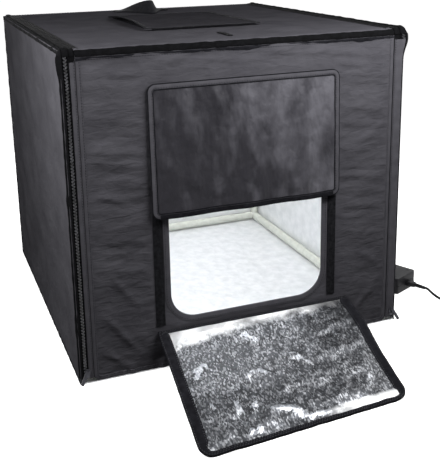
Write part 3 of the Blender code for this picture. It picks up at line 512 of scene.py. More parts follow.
def holed_grid(hole: Array, edge: Array, around: int, rings: int, lift: float = 0.0) -> Array:
    """Grid of rings from a hole's outline to a panel's edge, in flat cloth points.

    A point is the share-wise mix of where one ray meets the hole and where it meets the edge. Rays through the
    edge's corners are among them, so that the corners stay sharp.

    Args:
        hole: anticlockwise outline of the hole.
        edge: anticlockwise convex outline of the panel.
        around: number of evenly turned rays.
        rings: number of rings.
        lift: height of the face.

    Returns:
        Array of rings by rays by (u, v, lift).
    """
    centre = hole.mean(axis=0)
    corners = np.arctan2(*(edge - centre).T[::-1])
    angles = np.unique(np.round(np.concatenate([np.linspace(-math.pi, math.pi, around + 1)[:-1], corners]), 5))
    lines = (ray_hits(hole, centre, angles), ray_hits(edge, centre, angles))
    return mixed_grid(*lines, rings, lift).swapaxes(0, 1)


def mixed_grid(left: Array, right: Array, columns: int, lift: float = 0.0) -> Array:
    """Grid of rows by columns of flat cloth points between two lines with as many points as rows.

    Args:
        left: points of the first line.
        right: points of the second line.
        columns: points in a row.
        lift: height of the face.

    Returns:
        Array of rows by columns by (u, v, lift).
    """
    share = np.linspace(0, 1, columns)[None, :, None]
    flat = left[:, None] * (1 - share) + right[:, None] * share
    return np.concatenate([flat, np.full((*flat.shape[:2], 1), lift)], axis=-1)


def waves(places: Array, seed: int, longest: float, shortest: float, count: int = 14,
          stretch: Sequence[float] = (1.0, 1.0)) -> Array:
    """Smooth seeded unevenness of about unit height.

    It is a sum of sines along seeded directions, whose wavelengths run evenly in proportion from the longest
    to the shortest. Each is weighted by its wavelength to the power 0.6, and the sum is divided by its own
    root mean square.

    Args:
        places: array of points by two, or of distances along one axis.
        seed: number that fixes directions and phases.
        longest: longest wavelength.
        shortest: shortest wavelength.
        count: number of sines.
        stretch: factor on each axis before the waves are read.

    Returns:
        One height for each place.
    """
    if places.ndim == 1:
        places = np.stack([places, places * 0], axis=-1)
    random = np.random.default_rng(seed)
    length = np.geomspace(longest, shortest, count)
    turn, phase = random.uniform(0, math.tau, (2, count))
    weight = (length / longest) ** 0.6
    reach = (places * np.array(stretch)) @ np.stack([np.cos(turn), np.sin(turn)]) * math.tau / length
    return (np.sin(reach + phase) * weight).sum(axis=1) / np.sqrt((weight ** 2).sum() / 2)


def creases(places: Array, lines: Array) -> Array:
    """Summed height at each place of soft ridges along short lines.

    A ridge's height falls with the square of the distance from its line, as a bell curve, and fades towards
    the line's ends.

    Args:
        places: array of points by two.
        lines: one row for each crease: start, end, half width and height.

    Returns:
        One height for each place.
    """
    start, end = lines[:, 0:2], lines[:, 2:4]
    step = end - start
    share = ((places[:, None] - start) * step).sum(axis=-1) / (step ** 2).sum(axis=-1)
    nearest = start + np.clip(share, 0, 1)[..., None] * step
    distance = np.linalg.norm(places[:, None] - nearest, axis=-1)
    fade = np.sin(np.clip(share, 0.02, 0.98) * math.pi) ** 0.7
    return (lines[:, 5] * fade * bell(distance, lines[:, 4])).sum(axis=1)


def bell(distance: Array, width: float | Array, power: int = 2) -> Array:
    """Bell curve: e to the minus of the distance over the width, to an even power."""
    return np.exp(-((distance / width) ** power))


def ease(share: Array) -> Array:
    """Soft step from 0 to 1: three squares less two cubes of the share."""
    share = np.clip(share, 0.0, 1.0)
    return share * share * (3 - 2 * share)


# ---------------------------------------------------------------------------------------------------------------
# Finishes


def linear(code: str) -> tuple[float, float, float, float]:
    """Linear colour, with full alpha, of an sRGB code of six hex digits after a hash.

    Args:
        code: the code.

    Returns:
        Red, green, blue and alpha.
    """
    shares = [int(code[start:start + 2], 16) / 255 for start in (1, 3, 5)]
    red, green, blue = (s / 12.92 if s <= 0.04045 else ((s + 0.055) / 1.055) ** 2.4 for s in shares)
    return red, green, blue, 1.0


def node(tree: Tree, kind: str, inputs: dict[int | str, object] | None = None, out: int | str = 0,
         **settings: object) -> Socket:
    """Add a node, set its properties and inputs, and link the inputs that are given as sockets.

    Args:
        tree: node tree.
        kind: the node's type name after "ShaderNode".
        inputs: values or output sockets by input name or number.
        out: name or number of the wished output.
        settings: properties of the node.

    Returns:
        The wished output.
    """
    made = tree.nodes.new("ShaderNode" + kind)
    for key, value in settings.items():
        setattr(made, key, value)
    for key, value in (inputs or {}).items():
        if isinstance(value, Socket):
            tree.links.new(value, made.inputs[key])
        else:
            made.inputs[key].default_value = value
    return made.outputs[out]


class Coordinates(Enum):
    """What a pattern follows: the piece's place, or the cloth's own lengths."""

    PLACE = "Object"
    CLOTH = "UV"


@dataclass(frozen=True)
class Finish:
    """One real finish. Its colour runs between two tones over patches of a real size.

    The painted shade slope is how much the patches' share grows per metre along each axis: a painted gradient of
    shade.
    """

    name: str
    tone: str
    light_tone: str
    patch_mm: float
    roughness: float
    metallic: float = 0.0
    sheen: float = 0.0
    coordinates: Coordinates = Coordinates.PLACE
    specular: float = 0.5
    limits: tuple[float, float] = (0.35, 0.65)
    patch_stretch: float = 1.0
    painted_shade_slope: tuple[float, float] = (0.0, 0.0)

    def dress(self, tree: Tree, shader: bpy.types.Node) -> None:
        """Fill the material: two-tone patches with soft limits, then whatever relief the finish has.

        Args:
            tree: node tree.
            shader: its principled shader.
        """
        for name, value in (("Roughness", self.roughness), ("Metallic", self.metallic),
                            ("Specular IOR Level", self.specular), ("Sheen Weight", self.sheen),
                            ("Sheen Roughness", 0.45)):
            shader.inputs[name].default_value = value
        place = node(tree, "TexCoord", out=self.coordinates.value)
        narrowed = node(tree, "Mapping", {"Vector": place, "Scale": (self.patch_stretch, 1.0, 1.0)})
        patches = node(tree, "TexNoise", {"Vector": narrowed, "Scale": 1000 / self.patch_mm, "Detail": 4.0}, "Fac")
        # Painted shade: the share grows evenly along the cloth by the slope.
        painted_shade_gradient = node(tree, "VectorMath", {0: place, 1: (*self.painted_shade_slope, 0.0)}, "Value", operation="DOT_PRODUCT")
        total = node(tree, "Math", {0: patches, 1: painted_shade_gradient}, operation="ADD")
        spread = node(tree, "MapRange", {"Value": total, "From Min": self.limits[0], "From Max": self.limits[1]})
        tones = node(tree, "Mix", {0: spread, 6: linear(self.tone), 7: linear(self.light_tone)}, 2,
                     data_type="RGBA")
        tree.links.new(tones, shader.inputs["Base Color"])
        under: dict[int | str, object] = {}
        for height, depth_mm in self.relief(tree, place):
            under = {"Normal": node(tree, "Bump", {"Height": height, "Distance": depth_mm / 1000, "Strength": 1.0,
                                                   **under})}
        if under:
            tree.links.new(under["Normal"], shader.inputs["Normal"])

    def relief(self, tree: Tree, place: Socket) -> list[tuple[Socket, float]]:
        """Fine grain that any handled surface has.

        Args:
            tree: node tree.
            place: socket with the coordinates.

        Returns:
            Layers of the relief, lowest first: a socket with the height, 0 to 1, and the depth in millimetres.
        """
        return [(node(tree, "TexNoise", {"Vector": place, "Scale": 1000 / 0.9, "Detail": 3.0}, "Fac"), 0.05)]


@dataclass(frozen=True)
class WovenCloth(Finish):
    """Woven synthetic cloth: crossed threads and soft creases that run mostly across it.

    The threads are drawn coarser than the real quarter of a millimetre, because those are too fine to show.
    """

    coordinates: Coordinates = Coordinates.CLOTH
    thread_mm: float = 1.1
    crease_mm: float = 9.0
    crease_depth_mm: float = 1.7
    stretch: float = 0.34
    buckle_depth_mm: float = 4.0
    buckle_stretch: float = 1.0

    def relief(self, tree: Tree, place: Socket) -> list[tuple[Socket, float]]:
        """Broad buckles, creases several times longer than wide, and the weave on top.

        Args:
            tree: node tree.
            place: socket with the coordinates.

        Returns:
            Layers of the relief, lowest first.
        """
        folds = []
        for stretch, size_mm, more, depth_mm in (
                (self.buckle_stretch, self.crease_mm * 4.5, {"Detail": 2.0}, self.buckle_depth_mm),
                (self.stretch, self.crease_mm, {"Detail": 3.0, "Distortion": 0.6}, self.crease_depth_mm)):
            pulled = node(tree, "Mapping", {"Vector": place, "Scale": (stretch, 1.0, 1.0)})
            fold = node(tree, "TexNoise", {"Vector": pulled, "Scale": 1000 / size_mm, **more}, "Fac")
            folds.append((fold, depth_mm))
        warp, weft = (node(tree, "TexWave", {"Vector": place, "Scale": WAVE_SCALE / self.thread_mm}, "Fac",
                           wave_type="BANDS", bands_direction=axis) for axis in "XY")
        return [*folds, (node(tree, "Math", {0: warp, 1: weft}, operation="MULTIPLY"), 0.10)]


@dataclass(frozen=True)
class CrinkledFilm(Finish):
    """Aluminised film bonded to cloth: flat facets between sharp crinkles, with a fine pebble over them."""

    coordinates: Coordinates = Coordinates.CLOTH
    facet_mm: float = 16.0
    facet_depth_mm: float = 1.2
    pebble_mm: float = 2.2
    pebble_depth_mm: float = 0.25

    def relief(self, tree: Tree, place: Socket) -> list[tuple[Socket, float]]:
        """Crinkles where cells meet, moved about by 20 mm at most, and a pebble of the film's own embossing.

        Args:
            tree: node tree.
            place: socket with the coordinates.

        Returns:
            Layers of the relief, lowest first.
        """
        bent = node(tree, "TexNoise", {"Vector": place, "Scale": 1000 / (self.facet_mm * 2.5)}, "Color")
        moved = node(tree, "VectorMath", {0: bent, 1: (0.02, 0.02, 0.0)}, operation="MULTIPLY")
        shifted = node(tree, "VectorMath", {0: place, 1: moved}, operation="ADD")
        facets = node(tree, "TexVoronoi", {"Vector": shifted, "Scale": 1000 / self.facet_mm}, "Distance",
                      feature="F1")
        pebbles = node(tree, "TexNoise", {"Vector": place, "Scale": 1000 / self.pebble_mm, "Detail": 2.0}, "Fac")
        return [(facets, self.facet_depth_mm), (pebbles, self.pebble_depth_mm)]


@dataclass(frozen=True)
class PebbledFilm(CrinkledFilm):
    """Embossed film on the open flap, with painted glints and a painted bright reflection along its hinge and at one
    far corner.
    """

    glint_fleck_mm: float = 2.1
    glint_tone: str = "#a5a7ab"
    dark_patch_tone: str = "#4c4d51"
    painted_reflection_tone: str = "#f6f7f8"
    reflection_hinge: float = 0.046
    reflection_end: float = 0.232

    def dress(self, tree: Tree, shader: bpy.types.Node) -> None:
        """Fill the material, scatter painted glints over it and paint a bright reflection along its hinge and far
        corner.

        Each cell of the glint flecks has its own brightness: a painted glint. They are drawn coarser than the real
        half millimetre, which is too fine to show. Darker patches are mixed in at random. The painted reflection's
        share rises towards the hinge, over a width that grows to the left and whose limit noise makes ragged, and
        towards the far edge on the right.

        Args:
            tree: node tree.
            shader: its principled shader.
        """
        super().dress(tree, shader)
        place = node(tree, "TexCoord", out=self.coordinates.value)
        x, y, _ = node(tree, "SeparateXYZ", {0: place}).node.outputs
        ragged = node(tree, "TexNoise", {"Vector": place, "Scale": 1000 / 34, "Detail": 5.0, "Roughness": 0.62},
                      "Fac")
        widening = node(tree, "MapRange", {"Value": x, "From Min": -0.17, "From Max": 0.12, "To Min": -0.004,
                                           "To Max": 0.022})
        shifted = node(tree, "Math", {0: y, 1: widening}, operation="SUBTRACT")
        bent = node(tree, "Math", {0: ragged, 1: 0.06, 2: shifted}, operation="MULTIPLY_ADD")
        hinge = node(tree, "MapRange", {"Value": bent, "From Min": 0.030 - self.reflection_hinge, "From Max": 0.010})
        far = node(tree, "MapRange", {"Value": y, "From Min": -self.reflection_end,
                                      "From Max": -self.reflection_end - 0.008})
        right = node(tree, "MapRange", {"Value": x, "From Min": 0.03, "From Max": 0.09})
        corner = node(tree, "Math", {0: far, 1: right}, operation="MULTIPLY")
        # Share of the painted bright reflection, along the hinge and at the far right corner.
        smooth = node(tree, "Math", {0: hinge, 1: corner}, operation="MAXIMUM")
        # Painted glints: each cell of the embossing has its own brightness.
        stretched = node(tree, "Mapping", {"Vector": place, "Scale": (1.0, 0.55, 1.0)})
        glint_cells = node(tree, "TexVoronoi", {"Vector": stretched, "Scale": 1000 / self.glint_fleck_mm}, "Color",
                      feature="F1")
        glint = node(tree, "MapRange", {"Value": node(tree, "SeparateColor", {0: glint_cells}), "From Min": 0.50})
        dark_patches = node(tree, "TexNoise", {"Vector": place, "Scale": 1000 / 70, "Detail": 3.0, "Distortion": 0.8},
                      "Fac")
        share = node(tree, "MapRange", {"Value": dark_patches, "From Min": 0.40, "From Max": 0.62, "To Min": 0.72})
        ground = shader.inputs["Base Color"].links[0].from_socket
        tone = node(tree, "Mix", {0: glint, 6: ground, 7: linear(self.glint_tone)}, 2, data_type="RGBA")
        tone = node(tree, "Mix", {0: share, 6: linear(self.dark_patch_tone), 7: tone}, 2, data_type="RGBA")
        # Paint the bright reflection over the rest.
        tone = node(tree, "Mix", {0: smooth, 6: tone, 7: linear(self.painted_reflection_tone)}, 2, data_type="RGBA")
        tree.links.new(tone, shader.inputs["Base Color"])


@dataclass(frozen=True)
class RibbedTape(Finish):
    """Woven tape: ribs across its length, counted along its own length."""

    coordinates: Coordinates = Coordinates.CLOTH
    rib_mm: float = 1.6
    rib_depth_mm: float = 0.18

    def relief(self, tree: Tree, place: Socket) -> list[tuple[Socket, float]]:
        """Ribs with a little unevenness.

        Args:
            tree: node tree.
            place: socket with the coordinates.

        Returns:
            Layers of the relief, lowest first.
        """
        ribs = node(tree, "TexWave", {"Vector": place, "Scale": WAVE_SCALE / self.rib_mm}, "Fac",
                    wave_type="BANDS", bands_direction="X")
        fuzz = node(tree, "TexNoise", {"Vector": place, "Scale": 1000 / 1.3, "Detail": 3.0}, "Fac")
        return [(ribs, self.rib_depth_mm), (fuzz, 0.12)]


@dataclass(frozen=True)
class LoopPile(Finish):
    """Loop side of hook tape: a matt pile of small loops."""

    loop_mm: float = 1.2

    def relief(self, tree: Tree, place: Socket) -> list[tuple[Socket, float]]:
        """Loops as small round cells."""
        loops = node(tree, "TexVoronoi", {"Vector": place, "Scale": 1000 / self.loop_mm}, "Distance", feature="F1")
        return [(loops, 0.5)]


@dataclass(frozen=True)
class DrawnMetal(Finish):
    """Extruded or drawn metal: fine lines along its length, drawn 0.7 mm apart so that they show."""

    line_mm: float = 0.7

    def relief(self, tree: Tree, place: Socket) -> list[tuple[Socket, float]]:
        """Lines along X, each a little different."""
        drawn = node(tree, "Mapping", {"Vector": place, "Scale": (0.02, 1.0, 1.0)})
        return [(node(tree, "TexNoise", {"Vector": drawn, "Scale": 1000 / self.line_mm, "Detail": 2.0}, "Fac"), 0.04)]


@dataclass(frozen=True)
class SparkEroded(Finish):
    """Moulded plastic whose mould was spark eroded: an even fine grain that dulls the gloss."""

    grain_mm: float = 1.0
    grain_depth_mm: float = 0.06

    def relief(self, tree: Tree, place: Socket) -> list[tuple[Socket, float]]:
        """Grain of the mould.

        Args:
            tree: node tree.
            place: socket with the coordinates.

        Returns:
            Layers of the relief, lowest first.
        """
        grain = node(tree, "TexNoise", {"Vector": place, "Scale": 1000 / self.grain_mm, "Detail": 5.0,
                                        "Roughness": 0.7}, "Fac")
        return [(grain, self.grain_depth_mm)]


@dataclass(frozen=True)
class GlowingPhosphor(Finish):
    """Yellow phosphor dome of a white LED, which glows a little of its own."""

    glow: float = 2.0

    def dress(self, tree: Tree, shader: bpy.types.Node) -> None:
        """Fill the material and light it from within.

        Args:
            tree: node tree.
            shader: its principled shader.
        """
        super().dress(tree, shader)
        shader.inputs["Emission Color"].default_value = linear("#fff4dc")
        shader.inputs["Emission Strength"].default_value = self.glow

    def relief(self, tree: Tree, place: Socket) -> list[tuple[Socket, float]]:
        """A smooth dome has no relief."""
        return []


# 210-denier nylon with a water-repellent backing: dark grey with a violet cast, matt, long fine creases
BLACK_NYLON = WovenCloth("woven_nylon", "#4b4a4f", "#525156", 60, 0.62, specular=0.0)
# The same nylon on the sides and back, tighter and smoother, in lighter tones than the front's: painted light
SIDE_NYLON_PAINTED_LIGHT = WovenCloth("side_nylon", "#545358", "#5e5d62", 90, 0.60, specular=0.0, crease_mm=14.0,
                        crease_depth_mm=1.6, stretch=0.9)
# The same nylon doubled on the flaps, in darker tones and a little glossier, with upright buckles. Its light tone
# lies in upright streaks as a painted sheen on the folds, and a painted shade darkens it to the left and downwards
DOUBLED_NYLON_PAINTED_SHADING = WovenCloth("doubled_nylon", "#29282d", "#5a595f", 110, 0.50, specular=0.15, limits=(0.36, 0.66),
                           patch_stretch=2.4, painted_shade_slope=(0.8, 0.5), crease_mm=13.0, crease_depth_mm=1.4,
                           buckle_depth_mm=9.0, buckle_stretch=2.4, stretch=1.3)
# The same nylon doubled on the top flap, seen at a low angle, so matt
TOP_FLAP_NYLON = WovenCloth("top_flap_nylon", "#3a393d", "#403f43", 60, 0.66, specular=0.0)
# Aluminised film inside the tent: near white, a satin mirror broken by crinkles
INNER_FILM = CrinkledFilm("aluminised_film", "#dddfe1", "#ebecee", 22, 0.42, 0.35)
# The same film with a pebbled embossing on the open flap. Its tones, far darker than the inside's, are a painted dark
# reflection; painted glints and a painted bright reflection lie over them
PEBBLED_FILM_PAINTED_REFLECTION = PebbledFilm("pebbled_film", "#333437", "#505256", 9.0, 0.36, 0.80, facet_mm=34.0,
                           facet_depth_mm=0.7, pebble_mm=4.0, pebble_depth_mm=0.6)
# The same film bright on the crests of its crumples: a painted highlight
CRUMPLE_HIGHLIGHT_FILM = replace(PEBBLED_FILM_PAINTED_REFLECTION, name="rubbed_film", tone="#85878c", light_tone="#b9bdc4", patch_mm=6.0,
                      roughness=0.34, glint_tone="#e4e7ec")
# Grosgrain binding folded over a raw edge and sewn. Its near-black also makes the painted shadow under the door's top
# edge and the painted shade lines round the upper flap's edge
GROSGRAIN_AND_SHADE = RibbedTape("grosgrain_binding", "#1a1a1d", "#242428", 9, 0.80, sheen=0.02, specular=0.0)
# Binding cut from the same nylon as the panels
SELF_BINDING = RibbedTape("nylon_binding", "#4a494e", "#525156", 14, 0.62, sheen=0.02, specular=0.05,
                          rib_depth_mm=0.08)
# Woven zip tape, a little finer, nearly black in the fold of the seam. The same near-black makes the painted shadow
# over the front roll
ZIP_WEAVE_AND_SHADE = RibbedTape("zip_tape_weave", "#0b0b0c", "#121214", 8, 0.85, rib_mm=1.2, specular=0.03)
# Hook-and-loop strip, loop side
PILE = LoopPile("loop_pile", "#171719", "#28282b", 5, 0.95, specular=0.03)
# Polyester webbing
WEBBING = RibbedTape("polyester_webbing", "#1d1d20", "#28282c", 7, 0.75, sheen=0.02, rib_mm=2.0,
                     rib_depth_mm=0.35, specular=0.05)
# Twisted polyester sewing thread
THREAD = Finish("sewing_thread", "#2c2c30", "#3c3c41", 3, 0.60, sheen=0.2, specular=0.3)
# Moulded nylon coil of the zip, whose lighter patches along it are painted glints
ZIP_COIL_PAINTED_GLINTS = Finish("zip_coil", "#18181a", "#3d3d41", 14, 0.34, limits=(0.45, 0.60))
# Painted zinc die casting
ZINC = SparkEroded("painted_zinc", "#29292d", "#36363b", 3, 0.34, 0.85)
# Powder coat on the steel tubes: pale grey green
POWDER_COAT = SparkEroded("powder_coat", "#c2c5bc", "#cdd0c7", 12, 0.42, grain_mm=1.6)
# Moulded ABS
WHITE_ABS = SparkEroded("white_abs", "#dcdcd8", "#e8e8e4", 15, 0.45)
BLACK_ABS = SparkEroded("black_abs", "#18181a", "#202023", 18, 0.46, specular=0.12)
# Extruded and anodised aluminium of the light bars
ANODISED = DrawnMetal("anodised_aluminium", "#c0c2c4", "#cfd1d3", 20, 0.34, 1.0)
# White solder mask on the boards
SOLDER_MASK = Finish("solder_mask", "#e2e4e0", "#eef0ec", 10, 0.38)
# Phosphor of the LEDs
PHOSPHOR = GlowingPhosphor("led_phosphor", "#e9d79a", "#f4e6b4", 2, 0.30)
# Soft PVC of the lead and its mouldings
SOFT_PVC = SparkEroded("soft_pvc", "#101012", "#18181a", 6, 0.50, specular=0.15, grain_mm=0.8, grain_depth_mm=0.04)
# Nickel plating on the plug's pins
NICKEL = DrawnMetal("nickel_plate", "#b9b6ae", "#cbc9c2", 4, 0.24, 1.0)


@functools.cache
def material_of(finish: Finish) -> bpy.types.Material:
    """Material of a finish, made once.

    Args:
        finish: the finish.

    Returns:
        The material.
    """
    made = bpy.data.materials.new(finish.name)
    made.use_nodes = True
    finish.dress(made.node_tree, made.node_tree.nodes["Principled BSDF"])
    return made


# ---------------------------------------------------------------------------------------------------------------
# From surface to piece


def placed(name: str, data: bpy.types.ID) -> Item:
    """New object with the given data, in the scene.

    Args:
        name: its name.
        data: its mesh, curve, lamp or camera.

    Returns:
        The object.
    """
    made = bpy.data.objects.new(name, data)
    bpy.context.scene.collection.objects.link(made)
    return made


def mesh_of(name: str, surface: Surface) -> bpy.types.Mesh:
    """Bare mesh of a surface.

    Args:
        name: its name.
        surface: the surface.

    Returns:
        The mesh.
    """
    mesh = bpy.data.meshes.new(name)
    mesh.from_pydata(surface.points.tolist(), [], surface.quads.tolist() + surface.tris.tolist())
    return mesh


def piece(name: str, surface: Surface, finishes: Sequence[Finish], body: str, slot: str, *stands_for: str) -> Item:
    """Make one piece at the origin, dress it and let it ride on a body.

    Args:
        name: name of the piece.
        surface: its closed surface, in place.
        finishes: finishes by number.
        body: body that carries it.
        slot: not used.
        stands_for: nodes that it replaces.

    Returns:
        The object.
    """
    mesh = mesh_of(name, surface)
    corner = np.empty(len(mesh.loops), np.int32)
    mesh.loops.foreach_get("vertex_index", corner)
    layer = mesh.uv_layers.new(name="cloth")
    layer.data.foreach_set("uv", surface.flat[corner].astype(np.float32).ravel())
    numbers = np.concatenate([surface.quad_finish, surface.tri_finish])
    mesh.polygons.foreach_set("material_index", np.minimum(numbers, len(finishes) - 1).astype(np.int32))
    mesh.shade_smooth()
    mesh.set_sharp_from_angle(angle=SMOOTH_ANGLE)
    mesh.validate()
    for finish in finishes:
        mesh.materials.append(material_of(finish))
    made = placed(name, mesh)
    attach(made, body)
    if stands_for:
        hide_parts(*stands_for)
    LOG.info("%s: %d faces on %s", name, len(mesh.polygons), body)
    return made


def repaint(frame: dict, finish: Finish, *names: str) -> None:
    """Give carried-over nodes of the loaded frame a finish.

    Args:
        frame: the loaded frame.
        finish: the finish.
        names: names of the nodes.
    """
    for name in names:
        mesh = frame["nodes"][name].data
        mesh.materials.clear()
        mesh.materials.append(material_of(finish))
        LOG.info("%s: keeps its solid, %s", name, finish.name)


def roll_over_front(run: Array, lift: Array) -> tuple[Array, Array]:
    """Y and Z on the cover's side view, by the distance run from where it starts to roll over the front tube.

    Below zero the run goes down the front. It then turns on a quarter circle whose radius is the tube's inset,
    and goes straight back along the top. The lift adds to the radius, or to the distance from the face.

    Args:
        run: distance run.
        lift: height above the face.

    Returns:
        Y and Z.
    """
    angle = np.clip(run / TENT.inset, 0, math.pi / 2)
    y = TENT.front + TENT.inset - (TENT.inset + lift) * np.cos(angle) + np.maximum(run - TENT.roll, 0)
    z = TENT.roll_height + (TENT.inset + lift) * np.sin(angle) + np.minimum(run, 0)
    return y, z


# ---------------------------------------------------------------------------------------------------------------
# Studio


# Y of each light bar
BAR_PLACES = {"front": -0.190, "rear": 0.170}
# Name, place, target, two sides and watts of each lamp
LAMPS: tuple[tuple[str, Point, Point, tuple[float, float], float], ...] = (
    ("front_softbox", (0.26, -0.70, 0.84), (0.12, -0.36, 0.36), (0.66, 0.20), 6.6),
    ("left_softbox", (-0.74, -0.42, 0.78), (-0.36, -0.18, 0.32), (0.45, 0.20), 5.6),
    ("back_softbox", (0.70, 1.20, 1.30), (0.0, 0.2, 0.3), (0.90, 0.60), 4.0),
    ("right_fill", (1.20, 0.10, 0.55), (0.3, 0.0, 0.28), (0.80, 0.50), 5.0),
    ("rear_fill", (-0.10, 1.25, 0.55), (0.0, 0.3, 0.28), (0.80, 0.50), 5.0),
    ("front_bar_light", (0.0, BAR_PLACES["front"], 0.518), (0.0, -0.020, 0.0), (0.54, 0.014), 1.27),
    ("rear_bar_light", (0.0, BAR_PLACES["rear"], 0.518), (0.0, 0.240, 0.0), (0.54, 0.014), 1.27))


def rays_of(tree: Tree, first: str, *others: str) -> Socket:
    """1 on rays of the named kinds and 0 on all others: the greatest of the light path's outputs.

    Args:
        tree: node tree.
        first: name of the first output.
        others: names of the others.

    Returns:
        The share of each ray.
    """
    path = node(tree, "LightPath").node.outputs
    seen = path[first]
    for kind in others:
        seen = node(tree, "Math", {0: seen, 1: path[kind]}, operation="MAXIMUM")
    return seen


@dataclass
class Studio:
    """Camera, lamps, background and floor."""

    place: Point = (-0.5246836, -1.5528777, 0.7186843)
    azimuth: float = 0.3701919
    down: float = 0.2479578
    roll: float = -0.0186871
    focal_px: float = 815.568
    centre_px: tuple[float, float] = (220.0, 145.0)
    frame_px: tuple[int, int] = (440, 461)
    world_light: float = 0.06
    floor_radii: tuple[float, ...] = (0.4, 1.0, 2.5, 6.0, 14.0)
    floor_sides: int = 96
    floor_level: float = -0.0004

    def build(self) -> None:
        """Set up all of it."""
        self.make_camera()
        self.make_world()
        self.make_floor()
        for lamp in LAMPS:
            self.make_lamp(*lamp)
        bpy.context.scene.view_settings.view_transform = "Standard"

    def make_camera(self) -> None:
        """Place the camera by its azimuth, its angle down and its roll.

        The view direction goes from -Y round to +X by the azimuth and down by the second angle. The image's
        right and up are turned about it by the roll, and the shift puts the lens's axis at its pixel.
        """
        sine, cosine = math.sin(self.azimuth), math.cos(self.azimuth)
        view = np.array([sine * math.cos(self.down), cosine * math.cos(self.down), -math.sin(self.down)])
        level = np.array([cosine, -sine, 0.0])
        above = np.cross(level, view)
        right = level * math.cos(self.roll) + above * math.sin(self.roll)
        up = above * math.cos(self.roll) - level * math.sin(self.roll)
        matrix = np.eye(4)
        matrix[:3] = np.stack([right, up, -view, self.place], axis=-1)
        data = bpy.data.cameras.new("camera")
        width, height = self.frame_px
        data.sensor_fit = "VERTICAL"
        data.sensor_height = 36.0
        data.lens = self.focal_px / height * data.sensor_height
        data.shift_x = (width / 2 - self.centre_px[0]) / height
        data.shift_y = (self.centre_px[1] - height / 2) / height
        data.clip_end = 50.0
        camera = placed("camera", data)
        camera.matrix_world = Matrix(matrix.tolist())
        bpy.context.scene.camera = camera

    def make_world(self) -> None:
        """World that looks white and lights the rest softly.

        Camera, glossy and transmission rays see white of strength 1, and all others see the plain light level.
        """
        world = bpy.data.worlds.new("studio_world")
        world.use_nodes = True
        tree = world.node_tree
        background = tree.nodes["Background"]
        background.inputs["Color"].default_value = linear("#ffffff")
        seen = rays_of(tree, "Is Camera Ray", "Is Glossy Ray", "Is Transmission Ray")
        level = node(tree, "MapRange", {"Value": seen, "To Min": self.world_light, "To Max": 1.0})
        tree.links.new(level, background.inputs["Strength"])
        bpy.context.scene.world = world

    def make_floor(self) -> None:
        """Round white floor that fades into the white background and keeps the object's shadow.

        What the camera sees is the lit matt white, plus a white glow that brings open floor up to white and
        that reaches full white 1.5 m away. The light that it throws back on the object is that of a dark floor.
        """
        radii, sides = np.array(self.floor_radii)[:, None, None], self.floor_sides
        rings = np.insert(radii * circle(sides), 2, self.floor_level, axis=2)
        points = np.concatenate([rings.reshape(-1, 3), [[0, 0, self.floor_level]]])
        first = np.arange(sides)
        fan = np.stack([first, (first + 1) % sides, np.full(sides, len(points) - 1)], axis=-1)
        mesh = mesh_of("floor", Surface(points, grid_quads(len(radii), sides, True)[:, ::-1], fan))
        paint = bpy.data.materials.new("matt_white_floor")
        paint.use_nodes = True
        tree = paint.node_tree
        tree.nodes.remove(tree.nodes["Principled BSDF"])
        pale, matt = (node(tree, "BsdfDiffuse", {"Color": (share, share, share, 1.0)}) for share in (0.86, 0.06))
        away = node(tree, "VectorMath", {0: node(tree, "TexCoord", out="Object")}, "Value", operation="LENGTH")
        level = node(tree, "MapRange", {"Value": away, "From Min": 0.7, "From Max": 1.5, "To Min": 0.88})
        glow = node(tree, "Emission", {"Color": linear("#ffffff"), "Strength": level})
        both = node(tree, "AddShader", {0: pale, 1: glow})
        mix = node(tree, "MixShader", {0: rays_of(tree, "Is Camera Ray", "Is Glossy Ray"), 1: matt, 2: both})
        tree.links.new(mix, tree.nodes["Material Output"].inputs["Surface"])
        mesh.materials.append(paint)
        placed("floor", mesh)

    def make_lamp(self, name: str, place: Point, target: Point, size: Sequence[float], watts: float) -> None:
        """Rectangular soft lamp that looks at a point.

        Args:
            name: name of the lamp.
            place: its place.
            target: point that it looks at.
            size: its two sides.
            watts: its power.
        """
        data = bpy.data.lights.new(name, "AREA")
        data.shape = "RECTANGLE"
        data.size, data.size_y = size
        data.energy = watts
        away = Vector(place) - Vector(target)
        turn = away.to_track_quat("Z", "Y").to_matrix().to_4x4()
        placed(name, data).matrix_world = Matrix.Translation(place) @ turn


# ---------------------------------------------------------------------------------------------------------------
# Adapter and its lead


